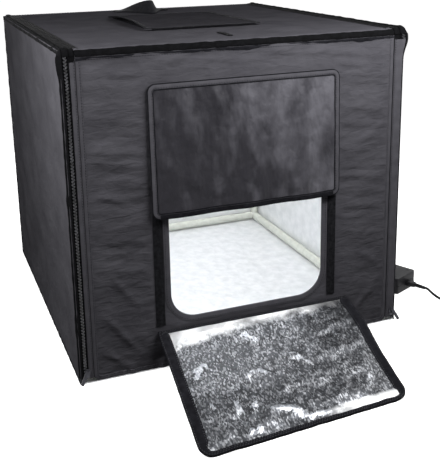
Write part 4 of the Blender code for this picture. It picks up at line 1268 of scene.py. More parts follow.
@dataclass
class Adapter:
    """Two-part power adapter beside the right wall, with its inlet and outlet."""

    length: float = 0.165
    width: float = 0.067
    height: float = 0.034
    wall: float = 0.0022
    corner: float = 0.0045
    fillet: float = 0.0015
    groove: float = 0.0005
    groove_width: float = 0.0002
    overcut: float = 0.002
    turn_deg: float = 24.5
    origin: Point = (0.3722632, -0.2355, 0.0)
    inlet_along: float = 0.039
    inlet_level: float = 0.0145
    inlet_size: tuple[float, float] = (0.020, 0.013)
    outlet_diameter: float = 0.010
    cap_levels: tuple[float, ...] = (-0.0004, 0.0002, 0.0004, 0.0004, 0.0001)
    cap_radii: tuple[float, ...] = (0.0030, 0.0030, 0.0027, 0.0016, 0.0013)

    def put(self, points: Array) -> Array:
        """Carry points from the adapter's own axes to their place: turned about Z, then moved."""
        turn = np.array(Matrix.Rotation(math.radians(self.turn_deg), 3, "Z"))
        return points @ turn.T + self.origin

    def half_case(self, outer: float, rim: float, inward: int) -> Surface:
        """Half of the case: a tray with a rounded edge, a lip at its rim and a wall, in its own axes.

        Rings of a rounded rectangle run from the middle of the outer face over a quarter circle of the edge's
        radius, down the side, over a small groove at the rim, and back inside one wall further in.

        Args:
            outer: level of the outer face.
            rim: level of the rim.
            inward: 1 for the lower half, -1 for the upper.

        Returns:
            The closed half.
        """
        turn = np.linspace(0, math.pi / 2, 6)
        insets = [*(self.fillet * (1 - np.sin(turn))), 0.0, self.groove, self.groove, self.wall, self.wall]
        levels = [*(outer + inward * self.fillet * (1 - np.cos(turn))),
                  rim - inward * (self.groove + self.groove_width), rim - inward * self.groove, rim, rim,
                  outer + inward * self.wall]
        size = np.array([self.width, self.length])
        rings = [np.insert(rounded(size - 2 * inset, max(self.corner - inset, self.corner / 3), 7, size / 2), 2,
                           level, axis=1) for inset, level in zip(insets, levels)]
        return skin(np.array(rings))

    def carve(self, made: Item, cutter: Surface) -> None:
        """Cut a closed surface out of a piece with a Boolean, and keep the result as its mesh.

        Args:
            made: the piece.
            cutter: the closed surface, in place.
        """
        mesh = mesh_of("hole", cutter)
        guide = placed("hole", mesh)
        change = made.modifiers.new("hole", "BOOLEAN")
        change.operation = "DIFFERENCE"
        change.object = guide
        graph = bpy.context.evaluated_depsgraph_get()
        carved = bpy.data.meshes.new_from_object(made.evaluated_get(graph))
        made.modifiers.clear()
        old, made.data = made.data, carved
        carved.name = made.name
        bpy.data.objects.remove(guide, do_unlink=True)
        bpy.data.meshes.remove(mesh)
        bpy.data.meshes.remove(old)

    def build(self, frame: dict) -> None:
        """Make both halves of the case with their openings, and dress what stays of the loaded frame.

        Args:
            frame: the loaded frame.
        """
        seam, over = self.height / 2, self.overcut
        slot = rounded(np.array(self.inlet_size) + 2 * TENT.gap, 0.001, 2, (self.inlet_along, self.inlet_level))
        hole = [self.width / 2, seam] + (self.outlet_diameter / 2 + TENT.gap) * circle(32)
        openings = ((slot, (-over, self.wall + over)), (hole, (self.length - self.wall - over, self.length + over)))
        cutters = [skin(np.array([np.insert(outline, 1, along, axis=1) for along in ends])).laid(self.put)
                   for outline, ends in openings]
        for name, outer, rim, inward, stands_for in (
                ("adapter_case_lower", 0.0, seam - TENT.gap / 2, 1, "adapter_base"),
                ("adapter_case_upper", self.height, seam + TENT.gap / 2, -1, "adapter_lid")):
            surface = self.half_case(outer, rim, inward).laid(self.put)
            made = piece(name, surface, [BLACK_ABS], "root", "black_plastic", stands_for)
            for cutter in cutters:
                self.carve(made, cutter)
        self.make_screw_caps()
        repaint(frame, BLACK_ABS, "adapter_inlet")
        repaint(frame, SOFT_PVC, "adapter_outlet_bush")
        repaint(frame, SOLDER_MASK, "adapter_board")

    def make_screw_caps(self) -> None:
        """Four low screw caps on the lid's corners: discs with a bevelled edge and a hollow in the middle."""
        caps = [turned((x, y, self.height), Z_AXIS, X_AXIS, self.cap_levels, self.cap_radii, 24)
                for x in (0.010, self.width - 0.010) for y in (0.012, self.length - 0.012)]
        piece("adapter_screw_caps", joined(*caps).laid(self.put), [SOFT_PVC], "root", "lead_jacket")


@dataclass
class MainsLead:
    """Mains lead with its socket, free stretch, coil, tie and wall plug."""

    adapter: Adapter
    diameter: float = 0.005
    length: float = 1.5
    nose: Point = (0.0142, 0.0078, 0.010)
    grip: Point = (0.0166, 0.0104, 0.018)
    relief_length: float = 0.022
    relief_diameters: tuple[float, float] = (0.0088, 0.0066)
    relief_rings: int = 6
    route: tuple[Point, ...] = (
        (0.4313, -0.2688, 0.0090), (0.4347, -0.2812, 0.0048), (0.4380, -0.2915, 0.0030),
        (0.4450, -0.3040, 0.0027), (0.4590, -0.3150, 0.0027), (0.4800, -0.3222, 0.0027))
    points: int = 16
    coil_centre: tuple[float, float] = (0.5200, -0.2850)
    coil_inner_radius: float = 0.0200
    turns_per_layer: float = 3.5
    tail_turn: float = 0.25
    tail_share: float = 0.75
    strand_gap: float = 0.00055
    points_per_turn: int = 24
    plug_size: Point = (0.0350, 0.0140, 0.0360)
    plug_relief: float = 0.022
    pin_spacing: float = 0.0186
    pin_length: float = 0.019
    pin_diameter: float = 0.004
    tie_turn_deg: float = 128.0
    tie_width: float = 0.0044
    tie_tail: float = 0.016

    @property
    def tip(self) -> Array:
        """End of the socket's relief, where the lead comes out."""
        return self.adapter.put(np.array([self.adapter.inlet_along, -TENT.gap - self.grip[2] - self.relief_length,
                                          self.adapter.inlet_level]))

    @property
    def out(self) -> Array:
        """Direction in which the lead comes out."""
        turn = math.radians(self.adapter.turn_deg)
        return np.array([math.sin(turn), -math.cos(turn), 0.0])

    def smooth_route(self, places: Array) -> Array:
        """Even points along the rounded curve through the route, whose end stretches stay straight.

        Knots are spaced by the root of distance, slopes are central differences, and each cell is a cubic
        through its two knots with those slopes.

        Args:
            places: the route's own points.

        Returns:
            The lead's points.
        """
        knots = np.concatenate([[0.0], np.cumsum(np.linalg.norm(np.diff(places, axis=0), axis=1) ** 0.5)])
        slopes = np.gradient(places, knots, axis=0)
        fine = np.linspace(knots[1], knots[-2], self.points * 20)
        cell = np.clip(np.searchsorted(knots, fine, side="right") - 1, 0, len(knots) - 2)
        span = (knots[cell + 1] - knots[cell])[:, None]
        t = (fine - knots[cell])[:, None] / span
        curve = ((2 * t ** 3 - 3 * t ** 2 + 1) * places[cell] + (t ** 3 - 2 * t ** 2 + t) * span * slopes[cell]
                 + (3 * t ** 2 - 2 * t ** 3) * places[cell + 1] + (t ** 3 - t ** 2) * span * slopes[cell + 1])
        run = run_of(curve)
        even = np.linspace(0.0, run[-1], self.points - 2)
        middle = np.stack([np.interp(even, run, axis) for axis in curve.T], axis=1)
        return np.vstack([places[:1], middle, places[-1:]])

    def coil(self) -> Array:
        """Points of the coil: it spirals in on the floor, climbs a layer, spirals out and rolls down outside.

        The turn count grows evenly. The radius falls by one strand a turn and then rises again, and the height
        goes up one strand in the half turn where it reverses.

        Returns:
            Array of points by three.
        """
        pitch, layer = self.diameter + self.strand_gap, self.turns_per_layer
        floor = self.diameter / 2 + TENT.gap / 2
        steps = int(round((2 * layer + self.tail_turn) * self.points_per_turn))
        turns = np.arange(steps + 1) / self.points_per_turn
        climb = ease((turns - layer) / 0.5 + 0.5)
        tail = ease((turns - 2 * layer) / self.tail_turn)
        radius = self.coil_inner_radius + pitch * (np.abs(np.minimum(turns, 2 * layer) - layer)
                                                   + self.tail_share * tail)
        height = floor + pitch * climb + (self.plug_size[1] / 2 - floor - pitch) * tail
        angle = math.tau * turns - math.pi / 2
        return np.stack([self.coil_centre[0] + radius * np.cos(angle),
                         self.coil_centre[1] + radius * np.sin(angle), height], axis=1)

    def build(self) -> None:
        coil = self.coil()
        start = self.tip + self.out * TENT.gap
        end = coil[0] - X_AXIS * (self.diameter + TENT.gap)
        lead = self.smooth_route(np.vstack([start, start + self.out * self.diameter, self.route,
                                            end - X_AXIS * self.diameter, end]))
        line = np.vstack([lead, coil, coil[-1] + Y_AXIS * self.diameter])
        cord = self.make_cord(line)
        socket = self.make_socket()
        plug = self.make_plug(line[-1] + Y_AXIS * TENT.gap)
        tie = self.make_tie()
        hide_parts("mains_lead", "mains_lead_coil")

    def make_cord(self, line: Array) -> Item:
        """Round cord on one smooth curve through a line of points.

        Args:
            line: array of points by three.

        Returns:
            The curve object.
        """
        curve = bpy.data.curves.new("mains_cord", "CURVE")
        curve.dimensions = "3D"
        curve.bevel_depth = self.diameter / 2
        curve.bevel_resolution = 4
        curve.resolution_u = 3
        curve.use_fill_caps = True
        spline = curve.splines.new("BEZIER")
        spline.bezier_points.add(len(line) - 1)
        spline.bezier_points.foreach_set("co", line.astype(np.float32).ravel())
        for point in spline.bezier_points:
            point.handle_left_type = point.handle_right_type = "AUTO"
        cord = placed("mains_cord", curve)
        curve.materials.append(material_of(SOFT_PVC))
        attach(cord, "root")
        LOG.info("mains_cord: %.3f m through %d points", run_of(line)[-1], len(line))
        return cord

    def relief_profile(self, start: float, end: float, length: float) -> tuple[Array, Array]:
        """Places and diameters along a strain relief, which tapers evenly and dips between its ribs.

        Args:
            start: diameter at its root.
            end: diameter at its tip.
            length: its length.

        Returns:
            Places along it and diameters.
        """
        places = np.linspace(0, length, self.relief_rings * 6 + 1)
        wave = np.cos(places / length * self.relief_rings * math.tau)
        slim = np.where(wave < -0.1, 0.84, 1.0)
        slim[[0, -1]] = 1.0
        return places, (start + (end - start) * places / length) * slim

    def moulding(self, *profile: Sequence[float]) -> Array:
        """Rounded-rectangle rings along a straight axis, given as (across, along, up).

        Args:
            profile: place of each ring along the axis, its width, its height and the radius of its corners.

        Returns:
            Array of rings by points by three.
        """
        return np.array([np.insert(rounded((width, height), min(corner, 0.49 * min(width, height)), 6), 1, along,
                                   axis=1) for along, width, height, corner in zip(*profile)])

    def make_socket(self) -> Item:
        """Socket on the lead: nose in the inlet, rounded grip with side ribs, and a ribbed relief.

        Returns:
            The piece.
        """
        gap, (nose_w, nose_h, nose_l), (grip_w, grip_h, grip_l) = TENT.gap, self.nose, self.grip
        run, thick = self.relief_profile(*self.relief_diameters, self.relief_length)
        grip_places = [0.0, 0.0010, 0.0060, 0.0066, 0.0078, 0.0084, 0.0096, 0.0102, grip_l - 0.0050,
                       grip_l - 0.0018, *(grip_l + run)]
        places = [nose_l - gap, nose_l - gap - 0.0006, 0.0, *(-gap - np.array(grip_places))]
        widths = [nose_w - 0.001, nose_w, nose_w,
                  *(grip_w - np.array([0.0016, 0, 0, 0.0012, 0.0012, 0, 0, 0.0012, 0.0024])), 0.0115, *thick]
        heights = [nose_h - 0.001, nose_h, nose_h,
                   *(grip_h - np.array([0.0016, 0, 0, 0.0010, 0.0010, 0, 0, 0.0010, 0.0012])), 0.0094, *thick]
        corners = [*([nose_h * 0.49] * 3), *([0.0034] * 10), *(thick * 0.49)]
        rings = self.moulding(places, widths, heights, corners)
        made = skin(rings + [self.adapter.inlet_along, 0.0, self.adapter.inlet_level]).laid(self.adapter.put)
        return piece("lead_socket", made, [SOFT_PVC], "root", "lead_jacket", "mains_connector")

    def make_plug(self, start: Array) -> Item:
        """Flat two-pin plug: ribbed relief, sloping shoulders, a waist to hold it by and plated pins.

        Args:
            start: point where the lead enters it.

        Returns:
            The piece.
        """
        width, thick, length = self.plug_size
        run, slim = self.relief_profile(*self.relief_diameters[::-1], self.plug_relief)
        body = np.array([0.004, 0.012, 0.018, 0.024, 0.028, 0.034, 0.0355, 0.036]) / 0.036 * length
        widths = [*slim, *(np.array([0.62, 0.80, 0.80, 0.84, 0.98, 1.0, 0.99, 0.95]) * width)]
        heights = [*slim, *(np.array([0.84, 0.97, 0.93, 0.93, 1.0, 1.0, 0.96, 0.86]) * thick)]
        corners = [*(slim * 0.49), *([0.0045] * len(body))]
        rings = self.moulding([*run, *(self.plug_relief + body)], widths, heights, corners)
        parts = [skin(rings + [start[0], start[1], thick / 2])]
        along = np.array([-0.002, self.pin_length - 0.0020, self.pin_length - 0.0008, self.pin_length])
        radii = np.array([1.0, 1.0, 0.85, 0.45]) * self.pin_diameter / 2
        for _, side in SIDES:
            root = (start[0] + side * self.pin_spacing / 2, start[1] + self.plug_relief + length, thick / 2)
            parts.append(turned(root, Y_AXIS, X_AXIS, along, radii, 20).painted(1))
        return piece("plug_with_pins", joined(*parts), [SOFT_PVC, NICKEL], "root", "lead_jacket", "wall_plug")

    def make_tie(self) -> Item:
        """Thin flat tie round the coil's strands, closed by a twist on top.

        The band is a rounded rectangle in the plane of the coil's radius and height, carried along the strands.
        It is drawn as (outwards, along the strands, up) and then turned to its place on the coil.

        Returns:
            The piece.
        """
        near = self.coil_inner_radius - self.diameter / 2 - 0.0008
        far = self.coil_inner_radius + self.turns_per_layer * (self.diameter + self.strand_gap) + 0.0031
        top, middle, half = 2 * self.diameter + self.strand_gap + 0.0012, (near + far) / 2, self.tie_width / 2
        loop = rounded((far - near, top - 0.00007), 0.0024, 6, (middle, (top + 0.00007) / 2))
        inner = rounded((far - near - 0.0008, top - 0.00053), 0.0021, 6, (middle, (top - 0.00027) / 2))
        parts = [skin(np.array([np.insert(line, 1, along, axis=1) for line, along in
                                ((loop, -half), (loop, half), (inner, half), (inner, -half))]), closed=True)]
        share = np.linspace(0, 1, 25)
        spin = share * math.tau * 1.5
        wide = np.stack([np.cos(spin), spin * 0, np.sin(spin)], axis=-1) * 0.0010
        thin = np.stack([-np.sin(spin), spin * 0, np.cos(spin)], axis=-1) * 0.0004
        for _, side in SIDES:
            path = np.stack([share * 0 + middle, side * share * self.tie_tail,
                             top + 0.0008 + 0.008 * share * (1 - share)], axis=-1)
            parts.append(skin(np.stack([path - wide - thin, path + wide - thin, path + wide + thin,
                                        path - wide + thin], axis=1)))
        turn = np.array(Matrix.Rotation(math.radians(self.tie_turn_deg), 3, "Z"))
        made = joined(*parts).laid(lambda points: points @ turn.T + [*self.coil_centre, 0.0])
        return piece("coil_tie", made, [SOFT_PVC], "root", "lead_jacket")


# ---------------------------------------------------------------------------------------------------------------
# Frame of tubes


@dataclass
class TubeFrame:
    """Twelve steel tubes and the eight moulded corners that hold them."""

    wall: float = 0.0012
    sides: int = 32
    peg: float = 0.030
    rim: float = 0.0004

    def build(self) -> None:
        """Make the tubes and the corners."""
        x, y = TENT.half_width - TENT.inset, TENT.back - TENT.inset
        levels = {"bottom": TENT.inset, "top": TENT.height - TENT.inset}
        for height, z in levels.items():
            for side, start, end in (("front", (-x, -y), (x, -y)), ("back", (-x, y), (x, y)),
                                     ("left", (-x, -y), (-x, y)), ("right", (x, -y), (x, y))):
                self.make_tube(f"{height}_{side}", np.array([*start, z]), np.array([*end, z]), "tube")
        for depth, side_y in (("front", -y), ("back", y)):
            for side, sign in SIDES:
                ends = [np.array([sign * x, side_y, z]) for z in levels.values()]
                self.make_tube(f"{depth}_{side}", *ends, "upright")
                for height, centre in zip(levels, ends):
                    self.make_corner(f"{height}_{depth}_{side}", centre)

    def make_tube(self, name: str, start: Array, end: Array, kind: str) -> None:
        """Hollow tube with rolled ends: rings of its outer radius, rounded rims, then rings of its bore.

        Args:
            name: name of the tube's place.
            start: centre of one corner.
            end: centre of the other.
            kind: last word of the node that it replaces.
        """
        length = np.linalg.norm(end - start)
        along = (end - start) / length
        radius, rim = TENT.tube_diameter / 2, self.rim
        near, far, bore = radius + TENT.gap, length - radius - TENT.gap, radius - self.wall
        places = (near, near + rim, far - rim, far, far, near)
        radii = (radius - rim, radius, radius, radius - rim, bore, bore)
        made = turned(start, along, Z_AXIS if abs(along[2]) < 0.5 else X_AXIS, places, radii, self.sides, True)
        piece(name + "_steel_tube", made, [POWDER_COAT], "root", "tube_enamel", f"{name}_{kind}")

    def make_corner(self, name: str, centre: Array) -> None:
        """Moulded corner: a ball with a collar and a peg towards each of its three tubes.

        The ball is rings of latitude. Each peg is a round bar whose collar meets the tube's end.

        Args:
            name: name of the corner.
            centre: its centre.
        """
        inward = -np.sign(centre - Z_AXIS * TENT.height / 2)
        radius = TENT.tube_diameter / 2
        tilt = np.linspace(0.02, math.pi - 0.02, 17)
        parts = [turned(centre, Z_AXIS, X_AXIS, radius * np.cos(tilt), radius * np.sin(tilt), self.sides)]
        peg = radius - self.wall - TENT.gap
        places = (0.0, radius * 0.86, radius, radius, radius + self.peg - 0.001, radius + self.peg)
        radii = (peg, peg + 0.0008, peg + 0.0008, peg, peg, peg - 0.001)
        for along, side in zip(np.eye(3) * inward[:, None], (Y_AXIS, Z_AXIS, X_AXIS)):
            parts.append(turned(centre, along, side, places, radii, self.sides))
        piece(name + "_corner", joined(*parts), [WHITE_ABS], "root", "white_plastic", name + "_connector")


# ---------------------------------------------------------------------------------------------------------------
# Shell


@dataclass
class Shell:
    """Cloth floor, back and sides, black outside and silver inside, with piped seams."""

    pipe: float = 0.0016
    pipe_sides: int = 10
    pipe_pitch: float = 0.004
    held_within: float = 0.06
    bowl: float = 0.0022
    unevenness: float = 0.0011
    longest_wave: float = 0.26
    shortest_wave: float = 0.06

    def build(self) -> None:
        """Make the four panels and the piping along their seams."""
        self.make_floor()
        self.make_back()
        for name, side in SIDES:
            self.make_side(name, side)
        self.make_piping()

    def make_floor(self) -> None:
        """Floor cloth: flat, with silver film on its upper face."""
        u = np.linspace(-TENT.half_width, TENT.half_width, 61)
        low = TENT.front + TENT.cloth + TENT.gap
        grid = mixed_grid(level_line(u, low), level_line(u, TENT.back), 61, TENT.cloth)
        item = piece("floor_cloth", sheet_of(grid, TENT.cloth, False).outward(), [INNER_FILM, BLACK_NYLON], "root",
                     "silver_foil", "floor_panel")

    def make_back(self) -> None:
        """Back wall: upright cloth that sinks a little between the tubes."""
        low, high = TENT.cloth + TENT.gap, TENT.height - TENT.cloth - TENT.gap
        u = np.linspace(-TENT.half_width, TENT.half_width, 121)

        def lay(points: Array) -> Array:
            """Stand the cloth up at the back, with its creases."""
            return np.stack([points[:, 0], TENT.back + self.stretched(points, 7, TENT.half_width), points[:, 1]],
                            axis=-1)

        made = sheet_of(mixed_grid(level_line(u, low), level_line(u, high), 101), TENT.cloth, False).laid(lay)
        item = piece("back_cloth", made, [SIDE_NYLON_PAINTED_LIGHT, INNER_FILM], "root", "black_nylon", "back_wall")

    def stretched(self, points: Array, seed: int, half: float) -> Array:
        """Lift of a stretched wall's points, less how far it stands in from its plane.

        Waves of 60 to 260 mm and a shallow bowl, both held to nothing along the edges, where tubes carry it.

        Args:
            points: flat points, across from the wall's middle and up from the floor.
            seed: number that fixes the waves.
            half: half of the wall's width.

        Returns:
            The lift of each point.
        """
        places = points[:, :2] - [0, TENT.height / 2]
        edge = np.minimum(half - np.abs(places[:, 0]), TENT.height / 2 - np.abs(places[:, 1]))
        folds = self.unevenness * waves(places, seed, self.longest_wave, self.shortest_wave)
        return points[:, 2] - ease(edge / self.held_within) * (self.bowl + folds)

    def make_side(self, name: str, side: int) -> None:
        """Side wall with a round upper front corner.

        Each level of the grid runs from the front edge, which bends back round the tube near the top, to the
        back edge.

        Args:
            name: side's name.
            side: -1 for the left, 1 for the right.
        """
        margin = TENT.cloth + TENT.gap
        high, radius = TENT.height - margin, TENT.inset - margin
        z = np.concatenate([np.linspace(margin, TENT.roll_height - 0.004, 90),
                            np.linspace(TENT.roll_height, high, 14)])
        rise = np.clip((z - TENT.roll_height) / radius, 0, 1)
        near = np.stack([TENT.front + margin + radius * (1 - np.sqrt(1 - rise ** 2)), z], axis=-1)

        def lay(points: Array) -> Array:
            """Stand the cloth up at its side, with its creases."""
            out = TENT.half_width + self.stretched(points, 11 + side, TENT.back)
            return np.stack([side * out, points[:, 0], points[:, 1]], axis=-1)

        grid = mixed_grid(near, upright(TENT.back - margin, z), 121)
        item = piece(name + "_cloth", sheet_of(grid, TENT.cloth, False).laid(lay), [SIDE_NYLON_PAINTED_LIGHT, INNER_FILM], "root",
                     "black_nylon", name + "_wall")

    def pipe_along(self, ends: Sequence[Point], seed: int) -> Surface:
        """Round piping between two points, uneven by a tenth of its radius.

        Args:
            ends: the two points.
            seed: number that fixes the unevenness.

        Returns:
            The closed pipe.
        """
        line = evenly(np.array(ends), self.pipe_pitch)
        along = (line[-1] - line[0]) / np.linalg.norm(line[-1] - line[0])
        side = np.cross(along, [0.3, 0.2, 0.93])
        side /= np.linalg.norm(side)
        run = run_of(line)
        radii = self.pipe * (1 + 0.10 * waves(run, seed, 0.03, 0.008, 6))
        around = np.arange(self.pipe_sides) * math.tau / self.pipe_sides * self.pipe
        return turned(line[0], along, side, run, radii, self.pipe_sides).unrolled(run, around)

    def make_piping(self) -> None:
        """Piped seams: up the back edges and round the foot."""
        x, y, r = TENT.half_width, TENT.back, self.pipe
        lines = [ends for _, side in SIDES
                 for ends in (((side * x, y, r), (side * x, y, TENT.height)),
                              ((side * x, TENT.front + 0.001, r), (side * x, y, r)))]
        lines.append(((-x, y, r), (x, y, r)))
        pipes = [self.pipe_along(ends, 31 + number) for number, ends in enumerate(lines)]
        piece("shell_piping", joined(*pipes), [GROSGRAIN_AND_SHADE], "root", "binding_tape")


# ---------------------------------------------------------------------------------------------------------------
# Zips


@dataclass
class Zip:
    """One zip up a front edge and back along the top: tape, coil, cloth fold, slider and pull.

    The tape lies flat beside the cover and then wraps over the cube's edge, so the coil faces outwards.
    """

    name: str
    side: int
    bulge: float
    fold_width: float
    fold_lift: float
    start: float = 0.010
    coil_start: float = 0.014
    end_margin: float = 0.012
    tooth_pitch: float = 0.0054
    flat_width: float = 0.0150
    wrap_radius: float = 0.0072
    coil_place: float = 0.0140
    tooth: Point = (0.0050, 0.0024, 0.0022)
    tooth_lift: float = 0.0010
    tooth_offset: float = 0.0010
    tooth_slant: float = 0.45
    core_width: float = 0.0044
    core_lift: float = 0.0006
    sunk: float = 0.0002
    soft_corner: float = 0.95
    bulge_run: float = -0.006
    bulge_reach: float = 0.026
    unevenness: float = 0.0005
    slider_level: float = 0.020
    pull: Point = (0.0055, 0.026, 0.0014)
    pull_hole: float = 0.0013
    pull_swing_deg: float = 28.0
    pull_tilt_deg: float = 12.0
    pivot: Point = (0.294, -0.3344, 0.028)

    @property
    def width(self) -> float:
        """Width of the tape: its flat part and a quarter turn round the edge."""
        return self.flat_width + self.wrap_radius * math.pi / 2

    @property
    def length(self) -> float:
        """Distance along the tape from where it rolls over the front tube to its back end."""
        return TENT.roll + TENT.depth - TENT.inset

    def lay(self, points: Array) -> Array:
        """Carry (across, run, lift) to the front edge and the top, across counted from the inner edge.

        Past the flat part the tape turns on an arc, which moves it outwards by the sine and back by one less
        the cosine. At the upper corner a bell curve along the run pushes the outer part outwards.

        Args:
            points: flat points of the tape.

        Returns:
            Their places.
        """
        across, run, lift = points.T
        push = self.bulge * bell(run - self.bulge_run, self.bulge_reach) * np.clip(across / self.width, 0, 1)
        wave = np.abs(waves(run, 51 + self.side, 0.09, 0.02, 8)) * np.clip(across / 0.004, 0, 1)
        angle = np.clip((across - self.flat_width) / self.wrap_radius, 0, math.pi / 2)
        radius = self.wrap_radius + lift + self.unevenness * wave + 0.5 * push
        x = TENT.half_width - TENT.zip_tape + np.minimum(across, self.flat_width) + radius * np.sin(angle) + push
        return np.stack([self.side * x, *roll_over_front(run, radius * np.cos(angle) - self.wrap_radius)], axis=-1)

    def build(self) -> None:
        """Make tape, coil, seam stitches, slider and pull.

        The tape's runs go from its start on the front, close together over the corner, to the back end.
        """
        run = np.concatenate([np.linspace(self.start - TENT.roll_height, -0.060, 110),
                              np.linspace(-0.057, -0.003, 24), np.linspace(0, TENT.roll, 14),
                              np.linspace(TENT.roll + 0.004, self.length, 140)])
        grid = mixed_grid(upright(0.0, run), upright(self.width, run), 17)
        item = piece(self.name + "_zip_tape", sheet_of(grid, TENT.cloth, False).laid(self.lay), [ZIP_WEAVE_AND_SHADE],
                     "root", "binding_tape", self.name + "_zip")
        trims = [self.make_coil(), self.make_fold(run[run < -0.006]), self.make_ridges(run)]
        self.make_slider()
        self.make_pull()

    def make_coil(self) -> Item:
        """Two rows of interlocked loops of the coil, half a pitch apart, over a flat core.

        The loops are drawn twice as coarse as the real ones, which would be too fine to show.

        Returns:
            The piece.
        """
        run = np.arange(self.coil_start - TENT.roll_height, self.length - self.end_margin, self.tooth_pitch)
        line = upright(self.coil_place, run)
        parts = [beads(line + [0, side * self.tooth_pitch / 4], self.tooth, self.tooth_lift,
                       side * self.tooth_offset, slant=side * self.tooth_slant).laid(self.lay) for side in (-1, 1)]
        core = upright(self.coil_place + self.core_width / 2, np.linspace(run[0], run[-1], 260))
        parts.append(band(core, self.core_width, -self.sunk, self.core_lift, False).laid(self.lay).painted(1))
        return piece(self.name + "_zip_coil", joined(*parts), [ZIP_COIL_PAINTED_GLINTS, ZIP_WEAVE_AND_SHADE], "root", "binding_tape")

    def ridge(self, run: Array, start: float, width: float, high: float) -> Surface:
        """Soft ridge along the tape, in place.

        Args:
            run: stations along the tape.
            start: place across of its outer side.
            width: its width, towards the inner edge.
            high: its height.

        Returns:
            The closed ridge.
        """
        return band(upright(start, run), width, -self.sunk, high, False, self.soft_corner).laid(self.lay)

    def make_fold(self, run: Array) -> Item:
        """Fold of the tent's own cloth up the front along the tape's inner edge, with a row of stitches.

        Args:
            run: stations up the front.

        Returns:
            The piece.
        """
        fold = self.ridge(run, self.fold_width, self.fold_width - 0.0004, self.fold_lift)
        row = stitched(upright(0.0018, run), self.fold_lift, size=(0.0032, 0.0009, 0.0007))
        return piece(self.name + "_zip_fold", joined(fold, row.laid(self.lay).painted(1)),
                     [SELF_BINDING, GROSGRAIN_AND_SHADE], "root", "binding_tape")

    def make_ridges(self, run: Array) -> Item:
        """Corded ridges on both sides of the coil, and on the top a black fold that covers the coil.

        Args:
            run: stations along the tape.

        Returns:
            The piece.
        """
        top = run[run > 0.0005]
        rows = ((run, 0.0112, 0.0024, 0.0014), (run, self.width + 0.0006, 0.0095, 0.0018),
                (top, 0.0172, 0.0080, 0.0030), (top, 0.0090, 0.0084, 0.0012))
        ridges = joined(*(self.ridge(*row) for row in rows))
        return piece(self.name + "_zip_ridges", ridges, [ZIP_WEAVE_AND_SHADE], "root", "binding_tape")

    def make_slider(self) -> None:
        """Slider: a waisted body in two layers with a bridge on top.

        The body is rings of rounded rectangles from top to bottom, wide at the shoulders and narrow at the
        tail. The bridge is a flat bar bent to a low arch.
        """
        body = self.name + "_zip_slider"
        face, centre = TENT.front - 0.0014 - TENT.gap, self.side * (TENT.half_width - TENT.zip_tape / 2)
        profile = ((-0.0070, 0.0052, 0.0018), (-0.0062, 0.0062, 0.0028), (-0.0030, 0.0068, 0.0030),
                   (0.0010, 0.0084, 0.0030), (0.0045, 0.0098, 0.0030), (0.0064, 0.0094, 0.0026),
                   (0.0070, 0.0080, 0.0016))
        rings = [np.insert(rounded((width, depth), 0.0007, 4, (centre, face - 0.0016)), 2, self.slider_level + z,
                           axis=1) for z, width, depth in profile]
        share = np.linspace(0, 1, 15)
        arch = np.stack([share * 0 + centre, face - 0.0029 - 0.0012 * np.sin(share * math.pi) ** 0.6,
                         self.slider_level + 0.0045 - 0.009 * share], axis=-1)
        bar = np.array([[-0.0012, 0.0002, 0], [0.0012, 0.0002, 0], [0.0009, -0.0001, 0], [-0.0009, -0.0001, 0]])
        piece(body + "_casting", joined(skin(np.array(rings)), skin(arch[:, None] + bar)), [ZINC], body,
              "dark_metal", body)

    def make_pull(self) -> None:
        """Pull tab: a rounded plate with a hole, swung outwards from its slider.

        Its two faces are rings from the hole's circle to the plate's outline, turned about X and then Y.
        """
        body = self.name + "_zip_pull"
        width, length, thick = self.pull
        edge = rounded((width, length + width / 2), width * 0.45, 8, (0, width / 4 - length / 2))
        made = sheet_of(holed_grid(self.pull_hole * circle(32), edge, 48, 6, thick / 2), thick, True)
        pivot = Matrix.Translation((self.side * self.pivot[0], *self.pivot[1:]))
        matrix = np.array(pivot @ Matrix.Rotation(math.radians(-self.side * self.pull_swing_deg), 4, "Y")
                          @ Matrix.Rotation(math.radians(-self.pull_tilt_deg), 4, "X"))

        def lay(points: Array) -> Array:
            """Stand the plate up, with a grip bead towards its end, and swing it out."""
            swell = 0.0002 * bell(points[:, 1] + length * 0.8, 0.0020)
            stood = np.stack([points[:, 0], -points[:, 2] - np.sign(points[:, 2]) * swell, points[:, 1]], axis=-1)
            return stood @ matrix[:3, :3].T + matrix[:3, 3]

        piece(body + "_tab", made.laid(lay), [ZINC], body, "dark_metal", body)


# ---------------------------------------------------------------------------------------------------------------
# Cover: top and door


